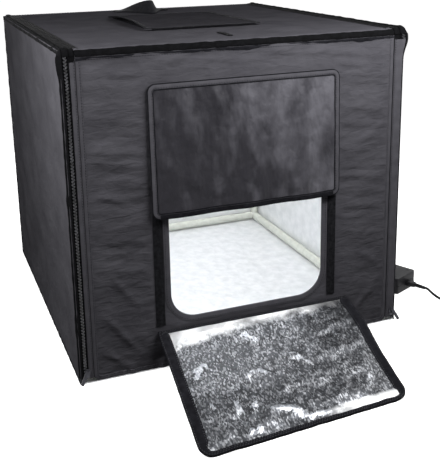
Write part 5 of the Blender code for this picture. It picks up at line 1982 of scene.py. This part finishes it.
@dataclass
class Top:
    """Top of the cover, rolled over the front tube, with its window, hook tape, tab, handle and flap."""

    window: tuple[float, float] = (0.180, 0.240)
    window_radius: float = 0.030
    window_y: float = -0.002
    held_within: float = 0.05
    dip: float = 0.0010
    unevenness: float = 0.0009
    lip: float = 0.0005
    lip_reach: float = 0.012
    hem_width: float = 0.0085
    tape: float = 0.016
    tape_thickness: float = 0.0012
    flap: tuple[float, float] = (0.229, 0.284)
    flap_right: float = 0.112
    flap_curl: float = 0.0085
    curl_share: float = 0.30
    tab: Point = (0.0085, 0.054, 0.0015)
    tab_place: tuple[float, float] = (-0.009, -0.257)
    handle_span: float = 0.096
    handle_end: float = 0.012
    handle_width: float = 0.036
    handle_thickness: float = 0.0030
    handle_reach: float = 0.082
    handle_rise: float = 0.0134
    handle_turn_deg: float = 48.0
    handle_place: tuple[float, float] = (-0.002, 0.284)

    @property
    def middle(self) -> float:
        """Run of the tent's middle, from where the cover starts to roll over."""
        return TENT.roll + TENT.depth / 2 - TENT.inset

    @property
    def back(self) -> float:
        """Run of the back edge."""
        return self.middle + TENT.back

    def lay(self, points: Array) -> Array:
        """Carry (x, run, lift) round the front tube and along the top, with a little slack.

        The slack is waves of 50 to 220 mm and a dip that is deepest between the tubes. Both fade out at the
        tubes, under the flap, the tab and the handle. Fine waves lift the cloth where it starts to roll over.

        Args:
            points: flat points of the cloth.

        Returns:
            Their places.
        """
        x, run, lift = points.T
        edge = np.minimum(TENT.cover_half - np.abs(x), np.minimum(run, self.back - run))
        y = run - self.middle
        flap = ease((0.16 - np.abs(x)) / 0.03) * ease((0.19 - np.abs(y - self.window_y)) / 0.03)
        tab = bell(x - self.tab_place[0], 0.03) * bell(y - self.tab_place[1], 0.05)
        handle = bell(x, 0.09, 4) * bell(y - 0.262, 0.07, 4)
        free = ease(edge / self.held_within) * (1 - flap) * (1 - tab) * (1 - handle)
        sag = free * (self.dip + self.unevenness * waves(points[:, :2], 3, 0.22, 0.05))
        lip = self.lip * waves(x, 5, 0.06, 0.012, 8) * bell(run, self.lip_reach)
        return np.stack([x, *roll_over_front(run, lift - sag + np.abs(lip))], axis=-1)

    def hole(self, steps: int) -> Array:
        """Outline of the window, with so many steps in each corner."""
        return rounded(self.window, self.window_radius, steps, (0, self.middle + self.window_y))

    def build(self) -> None:
        """Make everything on the top."""
        hole, half = self.hole(10), TENT.cover_half
        edge = np.array([[-half, 0], [half, 0], [half, self.back], [-half, self.back]])
        cloth = sheet_of(self.fine_front(holed_grid(hole, edge, 320, 48)), TENT.cloth, True).laid(self.lay)
        item = piece("top_cloth", cloth, [BLACK_NYLON, INNER_FILM], "top_cover", "black_nylon", "top_panel")
        trims = [self.make_seams(), self.make_tape(), self.make_tab()]
        self.back
        self.make_flap()
        self.make_handle()

    def fine_front(self, grid: Array) -> Array:
        """Crowd the rings towards the edge, where the cloth rolls over, by the power 1.35 of the share left.

        Args:
            grid: array of rings by rays by three.

        Returns:
            The grid with its rings moved.
        """
        last = len(grid) - 1
        place = (1 - (1 - np.linspace(0, 1, len(grid))) ** 1.35) * last
        low = np.clip(np.floor(place).astype(int), 0, last - 1)
        part = (place - low)[:, None, None]
        return grid[low] * (1 - part) + grid[low + 1] * part

    def make_seams(self) -> Item:
        """Folded hems along both zips and the back, and a bound window, each with its stitches, and a painted shadow
        over the front roll.

        Returns:
            The piece.
        """
        half = TENT.cover_half
        # The near-black group: the painted shadow over the front roll, and a hem beside each zip.
        stitches, dark = [], [self.painted_shadow_band()]
        for _, side in SIDES:
            line = upright(side * (half - 0.0002), np.linspace(TENT.roll + 0.002, self.back - 0.001, 260)[::side])
            dark.append(band(line, self.hem_width, -0.0001, 0.0007, closed=False))
            stitches.append(stitched(line, 0.0008, 0.0068))
        line = level_line(np.linspace(half, -half, 200), self.back - 0.0005)
        stitches.append(stitched(line, 0.0010, 0.0030, size=(0.0042, 0.0016, 0.0012), pitch=0.0060))
        ring = evenly(self.hole(12), 0.004, closed=True)[::-1]
        hems = [band(line, self.hem_width, -0.0001, 0.0009, closed=False), band(ring, 0.006, -0.0018, 0.0004)]
        parts = [part.laid(self.lay).painted(number) for number, group in enumerate((hems, stitches, dark))
                 for part in group]
        return piece("top_hems", joined(*parts), [SELF_BINDING, GROSGRAIN_AND_SHADE, ZIP_WEAVE_AND_SHADE], "top_cover", "binding_tape")

    def painted_shadow_band(self) -> Surface:
        """Painted shadow over the front tube: a near-black sheet from the door's edge part way round the roll.

        Returns:
            The closed band, in flat cloth points.
        """
        x = np.linspace(-TENT.cover_half + 0.0006, TENT.cover_half - 0.0006, 240)
        high = np.stack([x, TENT.roll * 0.62 + 0.0006 * waves(x, 61, 0.11, 0.02, 8)], axis=-1)
        return sheet_of(mixed_grid(level_line(x, 0.0002), high, 12, 0.0007), 0.0009, False)

    def make_tape(self) -> Item:
        """Hook tape round three sides of the top window: flat strips with rounded edges.

        Returns:
            The piece.
        """
        half, wide, thick = self.window[0] / 2, self.tape, self.tape_thickness
        low, high = self.window_y - self.window[1] / 2, self.window_y + self.window[1] / 2
        parts = []
        for near, far in (((-half, low - wide), (half, low)), ((-half, high), (half, high + wide)),
                          ((-half - wide, low - wide), (-half - 0.0003, high + wide))):
            size, centre = np.subtract(far, near), np.add(near, far) / 2
            rings = [np.insert(rounded(size - 2 * inset, 0.001, 2, centre), 2, TENT.height + TENT.gap + up, axis=1)
                     for inset, up in ((0.0008, 0.0), (0.0, 0.0006), (0.0, thick - 0.0003), (0.0006, thick))]
            parts.append(skin(np.array(rings)))
        return piece("top_window_loop_tape", joined(*parts), [PILE], "top_cover", "hook_tape",
                     "top_window_hook_tape")

    def make_tab(self) -> Item:
        """Folded tab of webbing near the front edge: a flat loop with a stitched box.

        Returns:
            The piece.
        """
        (width, length, thick), (x, y), level = self.tab, self.tab_place, TENT.height + TENT.gap
        run = np.linspace(-length / 2, length / 2, 40)
        across, up = rounded((width, thick), 0.0006, 3, (0, thick / 2)).T
        arch = 0.0006 * np.cos(run / length * math.pi)[:, None] ** 2 * (up > thick / 2)
        rings = np.stack(np.broadcast_arrays(x + across, y + run[:, None], level + up + arch), axis=-1)
        box = rounded((width * 0.72, length * 0.22), 0.001, 2, (x, y - length * 0.33))
        row = stitched(box, level + thick + 0.0002, 0.0, True, (0.0020, 0.0006, 0.0005), 0.0028).outward()
        return piece("keeper_loop", joined(skin(rings).unrolled(run, across), row.painted(1)), [ZIP_WEAVE_AND_SHADE, THREAD],
                     "top_cover", "webbing", "keeper_tab")

    def lay_flap(self, points: Array) -> Array:
        """Carry the flap's flat points, (x, y, lift) from its hinge, over the top window.

        The free third rises as a square of the distance and most in its middle, and the cloth waves by half a
        millimetre.

        Args:
            points: flat points of the flap.

        Returns:
            Their places.
        """
        width, half_y = self.flap[0], self.flap[1] / 2
        flat = width * (1 - self.curl_share)
        x, y, lift = points.T
        past = np.clip((-x - flat) / (width - flat), 0, 1)
        curl = self.flap_curl * past ** 2 * (1 - (y / half_y) ** 2)
        wave = 0.0004 * waves(points[:, :2], 17, 0.14, 0.03) * ease(-x / 0.03)
        level = TENT.height + self.tape_thickness + 2 * TENT.gap + TENT.cloth / 2
        return np.stack([self.flap_right + x, self.window_y + y, level + lift + curl + np.abs(wave)], axis=-1)

    def make_flap(self) -> None:
        """Flap over the top window, with its folded hem and stitches."""
        outline = rounded(self.flap, 0.012, 6, (-self.flap[0] / 2, 0))
        item = piece("top_flap_cloth", disc(outline, 200, 40).laid(self.lay_flap), [TOP_FLAP_NYLON, INNER_FILM],
                     "top_flap", "black_nylon", "top_flap_panel")
        hem = band(evenly(outline, 0.0035, closed=True), 0.009, -0.0012, 0.0014).laid(self.lay_flap)
        row = stitched(outline, 0.0015, 0.0070, True).laid(self.lay_flap).painted(1)
        trim = piece("top_flap_hem", joined(hem, row), [GROSGRAIN_AND_SHADE, THREAD], "top_flap", "binding_tape")

    def make_handle(self) -> None:
        """Webbing strap sewn flat at both ends, whose middle turns on edge and bows forward.

        Its centre line is the sine squared of the share along the span, times its reach forward and its rise.
        The width's direction turns by the same factor, from flat to nearly upright.
        """
        half, end, (place_x, place_y) = self.handle_span / 2, self.handle_end, self.handle_place
        share = np.concatenate([np.zeros(8), np.linspace(0, 1, 61), np.ones(8)])
        x = np.concatenate([np.linspace(-half - end, -half - 0.0005, 8), np.linspace(-half, half, 61),
                            np.linspace(half + 0.0005, half + end, 8)])
        bow = np.sin(math.pi * share) ** 2
        turn = math.radians(self.handle_turn_deg) * bow
        width = np.stack([0 * turn, np.cos(turn), np.sin(turn)], axis=-1)
        face = np.stack([0 * turn, -np.sin(turn), np.cos(turn)], axis=-1)
        lift = np.maximum(self.handle_rise * bow, self.handle_width / 2 * np.sin(turn))
        level = TENT.height + TENT.gap + self.handle_thickness / 2
        centre = np.stack([place_x + x, place_y - self.handle_reach * bow, level + lift], axis=-1)
        section = rounded((self.handle_width, self.handle_thickness), 0.0012, 3)
        rings = centre[:, None] + width[:, None] * section[:, :1] + face[:, None] * section[:, 1:]
        rows = []
        for _, side in SIDES:
            middle = np.array([place_x + side * (half + end / 2), place_y])
            box = rounded((0.0084, 0.0300), 0.001, 2, middle)
            crossed = [middle + np.array([[-0.0040, -slope], [0.0040, slope]]) for slope in (-0.0145, 0.0145)]
            rows += [stitched(line, level + self.handle_thickness / 2 + 0.0001, 0.0, line is box,
                              (0.0022, 0.0007, 0.0006), 0.0030) for line in (box, *crossed)]
        piece("handle_strap", joined(skin(rings).unrolled(run_of(centre), section[:, 0]),
                                     joined(*rows).outward().painted(1)), [WEBBING, THREAD], "carry_handle",
              "webbing", "carry_handle")


# Creases of the door's cloth and of the upper flap, and crumples of the open flap's film: both ends, each as
# two places on the cloth, then the width and the height
DOOR_CREASES = np.array([
    [-0.262, 0.120, -0.200, 0.036, 0.0050, 0.0030], [-0.250, 0.190, -0.196, 0.118, 0.0060, 0.0022],
    [-0.270, 0.060, -0.215, 0.010, 0.0045, 0.0026], [0.205, 0.030, 0.262, 0.090, 0.0060, 0.0026],
    [0.215, 0.160, 0.270, 0.120, 0.0070, 0.0020], [-0.262, 0.330, -0.205, 0.300, 0.0060, 0.0016],
    [0.212, 0.360, 0.268, 0.392, 0.0060, 0.0018], [-0.150, 0.520, 0.020, 0.512, 0.0050, 0.0010]])
UPPER_CREASES = np.array([
    [-0.108, -0.020, -0.098, -0.120, 0.009, 0.0066], [-0.060, -0.010, -0.045, -0.060, 0.008, 0.0040],
    [0.098, -0.020, 0.108, -0.215, 0.016, 0.0080], [0.062, -0.140, 0.056, -0.222, 0.009, 0.0050],
    [0.082, -0.130, 0.080, -0.222, 0.006, 0.0040], [-0.150, -0.130, -0.060, -0.190, 0.012, 0.0024],
    [0.010, -0.150, 0.030, -0.212, 0.010, 0.0040], [0.150, -0.020, 0.158, -0.150, 0.007, 0.0036],
    [-0.020, -0.020, 0.020, -0.050, 0.010, 0.0026], [-0.140, -0.060, -0.135, -0.200, 0.010, 0.0030]])
LOWER_CRUMPLES = np.array([
    [-0.070, -0.146, -0.048, -0.126, 0.0050, 0.0034], [-0.048, -0.126, -0.024, -0.147, 0.0050, 0.0034],
    [-0.160, -0.104, -0.112, -0.096, 0.0090, 0.0026], [-0.154, -0.124, -0.140, -0.108, 0.0070, 0.0024],
    [-0.148, -0.160, -0.134, -0.190, 0.0034, 0.0028], [-0.106, -0.168, -0.094, -0.208, 0.0055, 0.0030],
    [-0.080, -0.202, -0.067, -0.187, 0.0050, 0.0028], [-0.098, -0.243, -0.090, -0.230, 0.0050, 0.0036],
    [-0.083, -0.226, -0.077, -0.244, 0.0050, 0.0036], [-0.062, -0.205, -0.006, -0.218, 0.0060, 0.0036],
    [-0.016, -0.216, 0.004, -0.242, 0.0070, 0.0038], [0.000, -0.238, 0.050, -0.240, 0.0060, 0.0030],
    [0.118, -0.176, 0.126, -0.191, 0.0040, 0.0026], [0.119, -0.197, 0.148, -0.200, 0.0040, 0.0026],
    [-0.052, -0.038, -0.010, -0.074, 0.0080, 0.0024], [0.020, -0.100, 0.060, -0.150, 0.0120, 0.0020]])


@dataclass
class Door:
    """Front of the cover, with its window, bound edges, hook tapes and both flaps."""

    floor_clearance: float = 0.003
    chamfer: float = 0.007
    window_width: float = 0.286
    window_low: float = 0.0885
    window_high: float = 0.470
    window_radius: float = 0.046
    window_border: float = 0.0110
    side_border: float = 0.0080
    unevenness: float = 0.0009
    hollow: float = 0.0014
    pucker: float = 0.0012
    tape_width: float = 0.016
    tape_thickness: float = 0.0012
    tape_margin: float = 0.012
    tape_low: float = 0.080
    tape_high: float = 0.486
    upper_width: float = 0.344
    upper_top: float = 0.4975
    upper_drop: float = 0.223
    upper_radius: float = 0.013
    upper_border: float = 0.009
    upper_lean_deg: float = 1.5
    fold_depth: float = 0.0035
    folds: int = 3
    lower_width: float = 0.364
    lower_x: float = 0.012
    lower_reach: float = 0.256
    lower_shift: float = 0.020
    lower_skew: float = 0.012
    lower_hinge: float = 0.070
    lower_radius: float = 0.022
    lower_side: float = 0.018
    lower_end: float = 0.0072
    hem: float = 0.0013
    binding: float = 0.0030

    @property
    def top(self) -> float:
        """Height of the door's upper edge."""
        return TENT.roll_height - TENT.gap

    @property
    def window(self) -> Array:
        """Outline of the window."""
        return rounded((self.window_width, self.window_high - self.window_low), self.window_radius, 12,
                       (0, (self.window_low + self.window_high) / 2))

    def outline(self, below: float = 0.0) -> Array:
        """Outline of the door, with its chamfered lower corners, from so far below its top edge and back up.

        Args:
            below: distance of both ends below the top edge.

        Returns:
            Array of points by two.
        """
        half, low, cut = TENT.cover_half, self.floor_clearance, self.chamfer
        right = np.array([[half - cut, low], [half, low + cut], [half, self.top - below]])
        return np.concatenate([right[::-1] * [-1, 1], right])

    def slack(self, places: Array) -> Array:
        """How far the door's cloth stands out from its plane, in (x, z).

        A dark hollow runs under the top edge. Long shallow creases run across, a few run slanting at the lower
        left, and the foot puckers between the stitches of its binding. All fade out at the zips, beside the
        window and under both flaps, where the cloth lies flat.

        Args:
            places: points on the door.

        Returns:
            Distance outwards at each point.
        """
        x, z = places.T
        side = ease((TENT.cover_half - np.abs(x)) / 0.03)
        window = np.maximum(np.abs(x) / (self.window_width / 2 + 0.034), np.abs(z - 0.28) / 0.235)
        free = side * ease((window - 1.0) / 0.12 + 0.25)
        hinge = bell(z - self.lower_hinge, 0.014) * ease((0.20 - np.abs(x - self.lower_x)) / 0.02)
        top = -self.hollow * bell(z - self.top + 0.010, 0.007) * (0.7 + 0.5 * waves(x, 23, 0.07, 0.02, 6))
        foot = self.pucker * bell(z - 0.004, 0.016) * waves(x, 25, 0.030, 0.012, 8) * ease((np.abs(x) - 0.02) / 0.1)
        still = (1 - hinge) * ease((self.top - z) / 0.012)
        smooth = 0.35 + 0.65 * ease((z - 0.05) / 0.30)
        long_waves = self.unevenness * smooth * waves(places, 21, 0.10, 0.022, 16, (0.45, 1.5))
        return free * still * (long_waves + creases(places, DOOR_CREASES)) + top * side + foot * side * still

    def lay(self, points: Array) -> Array:
        """Carry (x, z, lift) to the door: the lift and the slack go out towards -Y."""
        x, z, lift = points.T
        return np.stack([x, TENT.front - lift - np.maximum(self.slack(points[:, :2]), -0.0016), z], axis=-1)

    def lay_flat(self, points: Array) -> Array:
        """Carry (x, z, lift) to a plane one gap in front of the door."""
        return np.stack([points[:, 0], TENT.front - TENT.gap - points[:, 2], points[:, 1]], axis=-1)

    def build(self) -> None:
        """Make the door and everything on it."""
        edge = self.outline()
        cloth = sheet_of(holed_grid(self.window, edge, 420, 56), TENT.cloth, True).laid(self.lay)
        item = piece("door_cloth", cloth, [BLACK_NYLON, INNER_FILM], "front_door", "black_nylon", "door_panel")
        trims = [self.make_bindings(), self.make_stitches(), self.make_painted_shadow_band(), *self.make_tapes()]
        self.make_upper_flap()
        self.make_lower_flap()

    def trim(self, name: str, finish: Finish, *parts: Surface) -> Item:
        """Piece of binding tape on the door, from flat parts that are each laid on it.

        Args:
            name: its name.
            finish: its finish.
            parts: the flat parts.

        Returns:
            The piece.
        """
        return piece(name, joined(*(part.laid(self.lay) for part in parts)), [finish], "front_door", "binding_tape")

    def make_bindings(self) -> Item:
        """Binding round the window, down both zips and along the foot.

        Returns:
            The piece.
        """
        ring = evenly(self.window, 0.0035, closed=True)[::-1]
        sides = evenly(self.outline(0.002), 0.0030)
        return self.trim("door_binding", SELF_BINDING, band(ring, self.window_border, -0.0020, 0.0009),
                         band(sides, self.side_border, -0.0018, 0.0005, closed=False))

    def make_painted_shadow_band(self) -> Item:
        """Painted shadow along the door's top edge: a near-black strip tucked under the roll, whose lower side runs
        in scallops.

        Returns:
            The piece.
        """
        x = np.linspace(-TENT.cover_half + 0.0006, TENT.cover_half - 0.0006, 300)
        uneven = 0.0014 * waves(x, 63, 0.12, 0.018, 12) + 0.0010 * waves(x, 65, 0.3, 0.1, 5)
        lower = np.stack([x, self.top - np.clip(0.0036 + uneven, 0.0010, 0.0080)], axis=-1)
        grid = mixed_grid(level_line(x, self.top - 0.0003), lower, 10, 0.0006)
        grid[..., 2] -= 0.0008 * (1 - ease((self.top - grid[..., 1]) / 0.0028))
        return self.trim("door_top_band", GROSGRAIN_AND_SHADE, sheet_of(grid, 0.0008, False))

    def make_stitches(self) -> Item:
        """Stitches in the bindings and one row under the top edge.

        Returns:
            The piece.
        """
        ring = evenly(self.window, STITCH_PITCH, closed=True)[::-1]
        half = TENT.cover_half - 0.008
        return self.trim("door_stitches", GROSGRAIN_AND_SHADE, beads(ring, STITCH, 0.0010, 0.0078, True),
                         stitched(self.outline(0.004), 0.0006, 0.0064),
                         stitched(level_line(np.array([half, -half]), self.top - 0.005), 0.0002))

    def make_tapes(self) -> list[Item]:
        """Hook tape on each side of the window: a flat strip with rounded edges.

        Returns:
            The two pieces.
        """
        made = []
        for name, side in SIDES:
            near = side * (self.window_width / 2 + self.tape_margin)
            line = upright(max(near, near + side * self.tape_width), np.linspace(self.tape_low, self.tape_high, 110))
            strip = band(line, self.tape_width, 0.0, self.tape_thickness, closed=False).laid(self.lay_flat)
            made.append(piece(f"window_loop_tape_{name}", strip, [PILE], "front_door", "hook_tape",
                              f"window_hook_tape_{name}"))
        return made

    def lay_upper(self, points: Array) -> Array:
        """Hang the upper flap's flat points, (x, z, lift) from the hinge line, with z negative downwards.

        Upright folds, a cosine of the distance across, deepen with the power one and a half of the drop. Two
        softer folds and small waves lie over them, and the whole flap leans out from its hinge.

        Args:
            points: flat points of the flap.

        Returns:
            Their places.
        """
        x, z, lift = points.T
        down = np.clip(-z / self.upper_drop, 0, 1)
        wave = (1 + np.cos(math.tau * self.folds * x / self.upper_width)) / 2
        small = 0.0004 * waves(points[:, :2], 41, 0.08, 0.02) * ease(down / 0.15)
        extra = creases(points[:, :2], UPPER_CREASES) * ease(down / 0.1)
        y = -(lift + self.fold_depth * wave * down ** 1.5 + extra + np.abs(small))
        lean = math.radians(self.upper_lean_deg)
        offset = self.tape_thickness + 2 * TENT.gap + self.binding / 2
        return np.stack([x, TENT.front - offset + y * math.cos(lean) + z * math.sin(lean),
                         self.upper_top + z * math.cos(lean) - y * math.sin(lean)], axis=-1)

    def make_upper_flap(self) -> None:
        """Flap over the upper half of the window: cloth, bound edge, stitches and a band across its foot."""
        drop, face = self.upper_drop, self.binding / 2
        size, middle = np.array([self.upper_width, drop]), (0, -drop / 2)
        outline = rounded(size - 2 * (self.upper_border - 0.003), self.upper_radius / 2, 5, middle)
        item = piece("upper_flap_cloth", disc(outline, 260, 44).laid(self.lay_upper), [DOUBLED_NYLON_PAINTED_SHADING, INNER_FILM],
                     "upper_flap", "black_nylon", "upper_flap_panel")
        edge = rounded(size, self.upper_radius, 6, middle)
        ring = evenly(edge, 0.0030, closed=True)
        left = sideways(ring, True)[1]
        half = self.upper_width / 2 - 0.012
        foot = evenly(level_line(np.array([half, -half]), -drop + 0.0072), 0.003)
        # Two near-black lines beside the binding: the one just inside it is painted shade of a groove, the one just
        # outside it is painted shadow of the gap between flap and door.
        trims = [stitched(edge, face, 0.0066, True, THICK_STITCH),
                 band(ring + left * (self.upper_border - 0.0012), 0.0018, face - 0.0008, face + 0.0004),
                 band(ring - left * 0.0010, 0.0024, -face, face - 0.0002),
                 band(foot, 0.0080, face - 0.0006, face + 0.0005, closed=False)]
        bound = band(ring, self.upper_border, -face, face, corner=0.9).laid(self.lay_upper)
        trim = piece("upper_flap_edge", joined(bound, *(part.laid(self.lay_upper).painted(1) for part in trims)),
                     [SELF_BINDING, GROSGRAIN_AND_SHADE], "upper_flap", "binding_tape", "upper_flap_binding")

    def lay_lower(self, points: Array) -> Array:
        """Lay the lower flap's flat points, (x, y, lift) from its hinge with y negative outwards, down to the floor.

        The height falls evenly with the distance out, the cloth is drawn to the left and further out there,
        and crumples lift it a few millimetres between its bindings.

        Args:
            points: flat points of the flap.

        Returns:
            Their places.
        """
        x, y, lift = points.T
        out = np.clip(-y / self.lower_reach, 0, 1)
        hinge = ease(1 + y / 0.004)
        half = self.lower_width / 2
        free = ease((half - np.abs(x)) / 0.05) * ease(-y / 0.03) * ease((self.lower_reach + y) / 0.03)
        small = 0.0010 * waves(points[:, :2], 43, 0.09, 0.018, 18)
        rise = free * (creases(points[:, :2], LOWER_CRUMPLES) + small + 0.0012) \
            + 0.0005 * np.abs(waves(points[:, :2], 45, 0.06, 0.02)) * ease(-y / 0.05)
        fall = (self.lower_hinge - self.binding / 2) * out
        bow = 0.006 * bell(-y - 0.070, 0.055) * np.clip(x / half, 0, 1) ** 3
        skew = self.lower_skew * out * x / half
        return np.stack([self.lower_x + x - self.lower_shift * out + bow,
                         TENT.front - TENT.gap - self.binding / 2 + y + skew + self.hem * hinge,
                         self.lower_hinge - fall + lift * (1 - 0.6 * hinge) + rise], axis=-1)

    def make_lower_flap(self) -> None:
        """Flap that lies open on the floor: film side up, with a painted highlight on the crests of its crumples, and
        bound edges.
        """
        size, middle = np.array([self.lower_width, self.lower_reach]), (0, -self.lower_reach / 2)
        border = np.array([self.lower_side, self.lower_end]) - 0.003
        flat = disc(rounded(size - 2 * border, 0.0065, 5, middle), 260, 56)
        middles = flat.flat[flat.quads].mean(axis=1)
        # Painted highlight: faces on the crests of the crumples take the bright film.
        highlit_crests = creases(middles, LOWER_CRUMPLES) + 0.0005 * waves(middles, 67, 0.02, 0.007) > 0.0018
        cloth = replace(flat.laid(self.lay_lower),
                        quad_finish=np.where(highlit_crests & (flat.quad_finish == 0), 2, flat.quad_finish))
        item = piece("lower_flap_film", cloth, [PEBBLED_FILM_PAINTED_REFLECTION, BLACK_NYLON, CRUMPLE_HIGHLIGHT_FILM], "lower_flap",
                     "silver_foil", "lower_flap_panel")
        trim = self.make_lower_edge(rounded(size, self.lower_radius, 8, middle)[18:])

    def make_lower_edge(self, low: Array) -> Item:
        """Binding of the lower flap: wide at the sides, narrow at the ends, with stitches.

        The section's width at each point of the outline is the side's width where the outline runs out and the
        end's width where it runs across, mixed by the direction's fourth power and evened over seven points.

        Args:
            low: rounded outer half of the flap's outline.

        Returns:
            The piece.
        """
        half, face = self.lower_width / 2, self.binding / 2 + 0.0001
        ring = evenly(np.vstack([level_line(np.array([half, -half]), -0.0005), low]), 0.0030, closed=True)
        along, left = sideways(ring, True)
        width = self.lower_end + (self.lower_side - self.lower_end) * along[:, 1] ** 4
        width = np.convolve(np.concatenate([width[-3:], width, width[:3]]), np.ones(7) / 7, "valid")[:, None]
        section = rounded((1, self.binding), 0.0006, 3, (0.5, 0))
        flat = ring[:, None] + left[:, None] * (section[:, :1] * width[:, None])
        rings = np.concatenate([flat, np.broadcast_to(section[:, 1:], (*flat.shape[:2], 1))], axis=-1)
        bound = skin(rings, closed=True).unrolled(run_of(ring), width * section[:, 0])
        rows = [stitched(ring + left * (width - 0.0022), face, 0.0, True, THICK_STITCH),
                stitched(ring, face, 0.0022, True, THICK_STITCH)]
        parts = [bound.laid(self.lay_lower), *(row.laid(self.lay_lower).painted(1) for row in rows)]
        return piece("lower_flap_edge", joined(*parts), [GROSGRAIN_AND_SHADE, THREAD], "lower_flap", "binding_tape",
                     "lower_flap_binding")


# ---------------------------------------------------------------------------------------------------------------
# Light bars


@dataclass
class LightBar:
    """Finishes and LED domes of one light bar, whose channel, board and brackets keep their solids."""

    name: str
    count: int = 14
    reach: float = 0.2874
    dome_radius: float = 0.0019
    dome_height: float = 0.0008
    sunk: float = 0.0002

    def build(self, frame: dict) -> None:
        """Dress the solids of the loaded frame and set a phosphor dome on each LED.

        Args:
            frame: the loaded frame.
        """
        repaint(frame, ANODISED, self.name + "_light_housing")
        repaint(frame, SOLDER_MASK, self.name + "_light_board")
        repaint(frame, WHITE_ABS, self.name + "_light_left_bracket", self.name + "_light_right_bracket")
        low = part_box(self.name + "_light_board")[0].z
        tilt = np.linspace(0, math.pi / 2 - 0.15, 5)
        levels, radii = -self.dome_height * np.sin(tilt), self.dome_radius * np.cos(tilt)
        domes = [turned((x, BAR_PLACES[self.name], low + self.sunk), Z_AXIS, X_AXIS, levels, radii, 16)
                 for x in self.reach * ((2 * np.arange(self.count) + 1) / self.count - 1)]
        piece(self.name + "_light_domes", joined(*domes), [PHOSPHOR], self.name + "_light_bar", "white_plastic")


# ---------------------------------------------------------------------------------------------------------------


def main() -> None:
    """Load the frame and build every sub-assembly in order."""
    logging.basicConfig(level=logging.INFO, format="%(message)s", stream=sys.stdout)
    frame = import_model()
    Studio().build()
    adapter = Adapter()
    MainsLead(adapter).build()
    adapter.build(frame)
    TubeFrame().build()
    Shell().build()
    Zip("left", -1, bulge=0.0020, fold_width=0.0086, fold_lift=0.0014).build()
    Zip("right", 1, bulge=0.0062, fold_width=0.0165, fold_lift=0.0026).build()
    Top().build()
    Door().build()
    for name in BAR_PLACES:
        LightBar(name).build(frame)


if __name__ == "__main__":
    main()
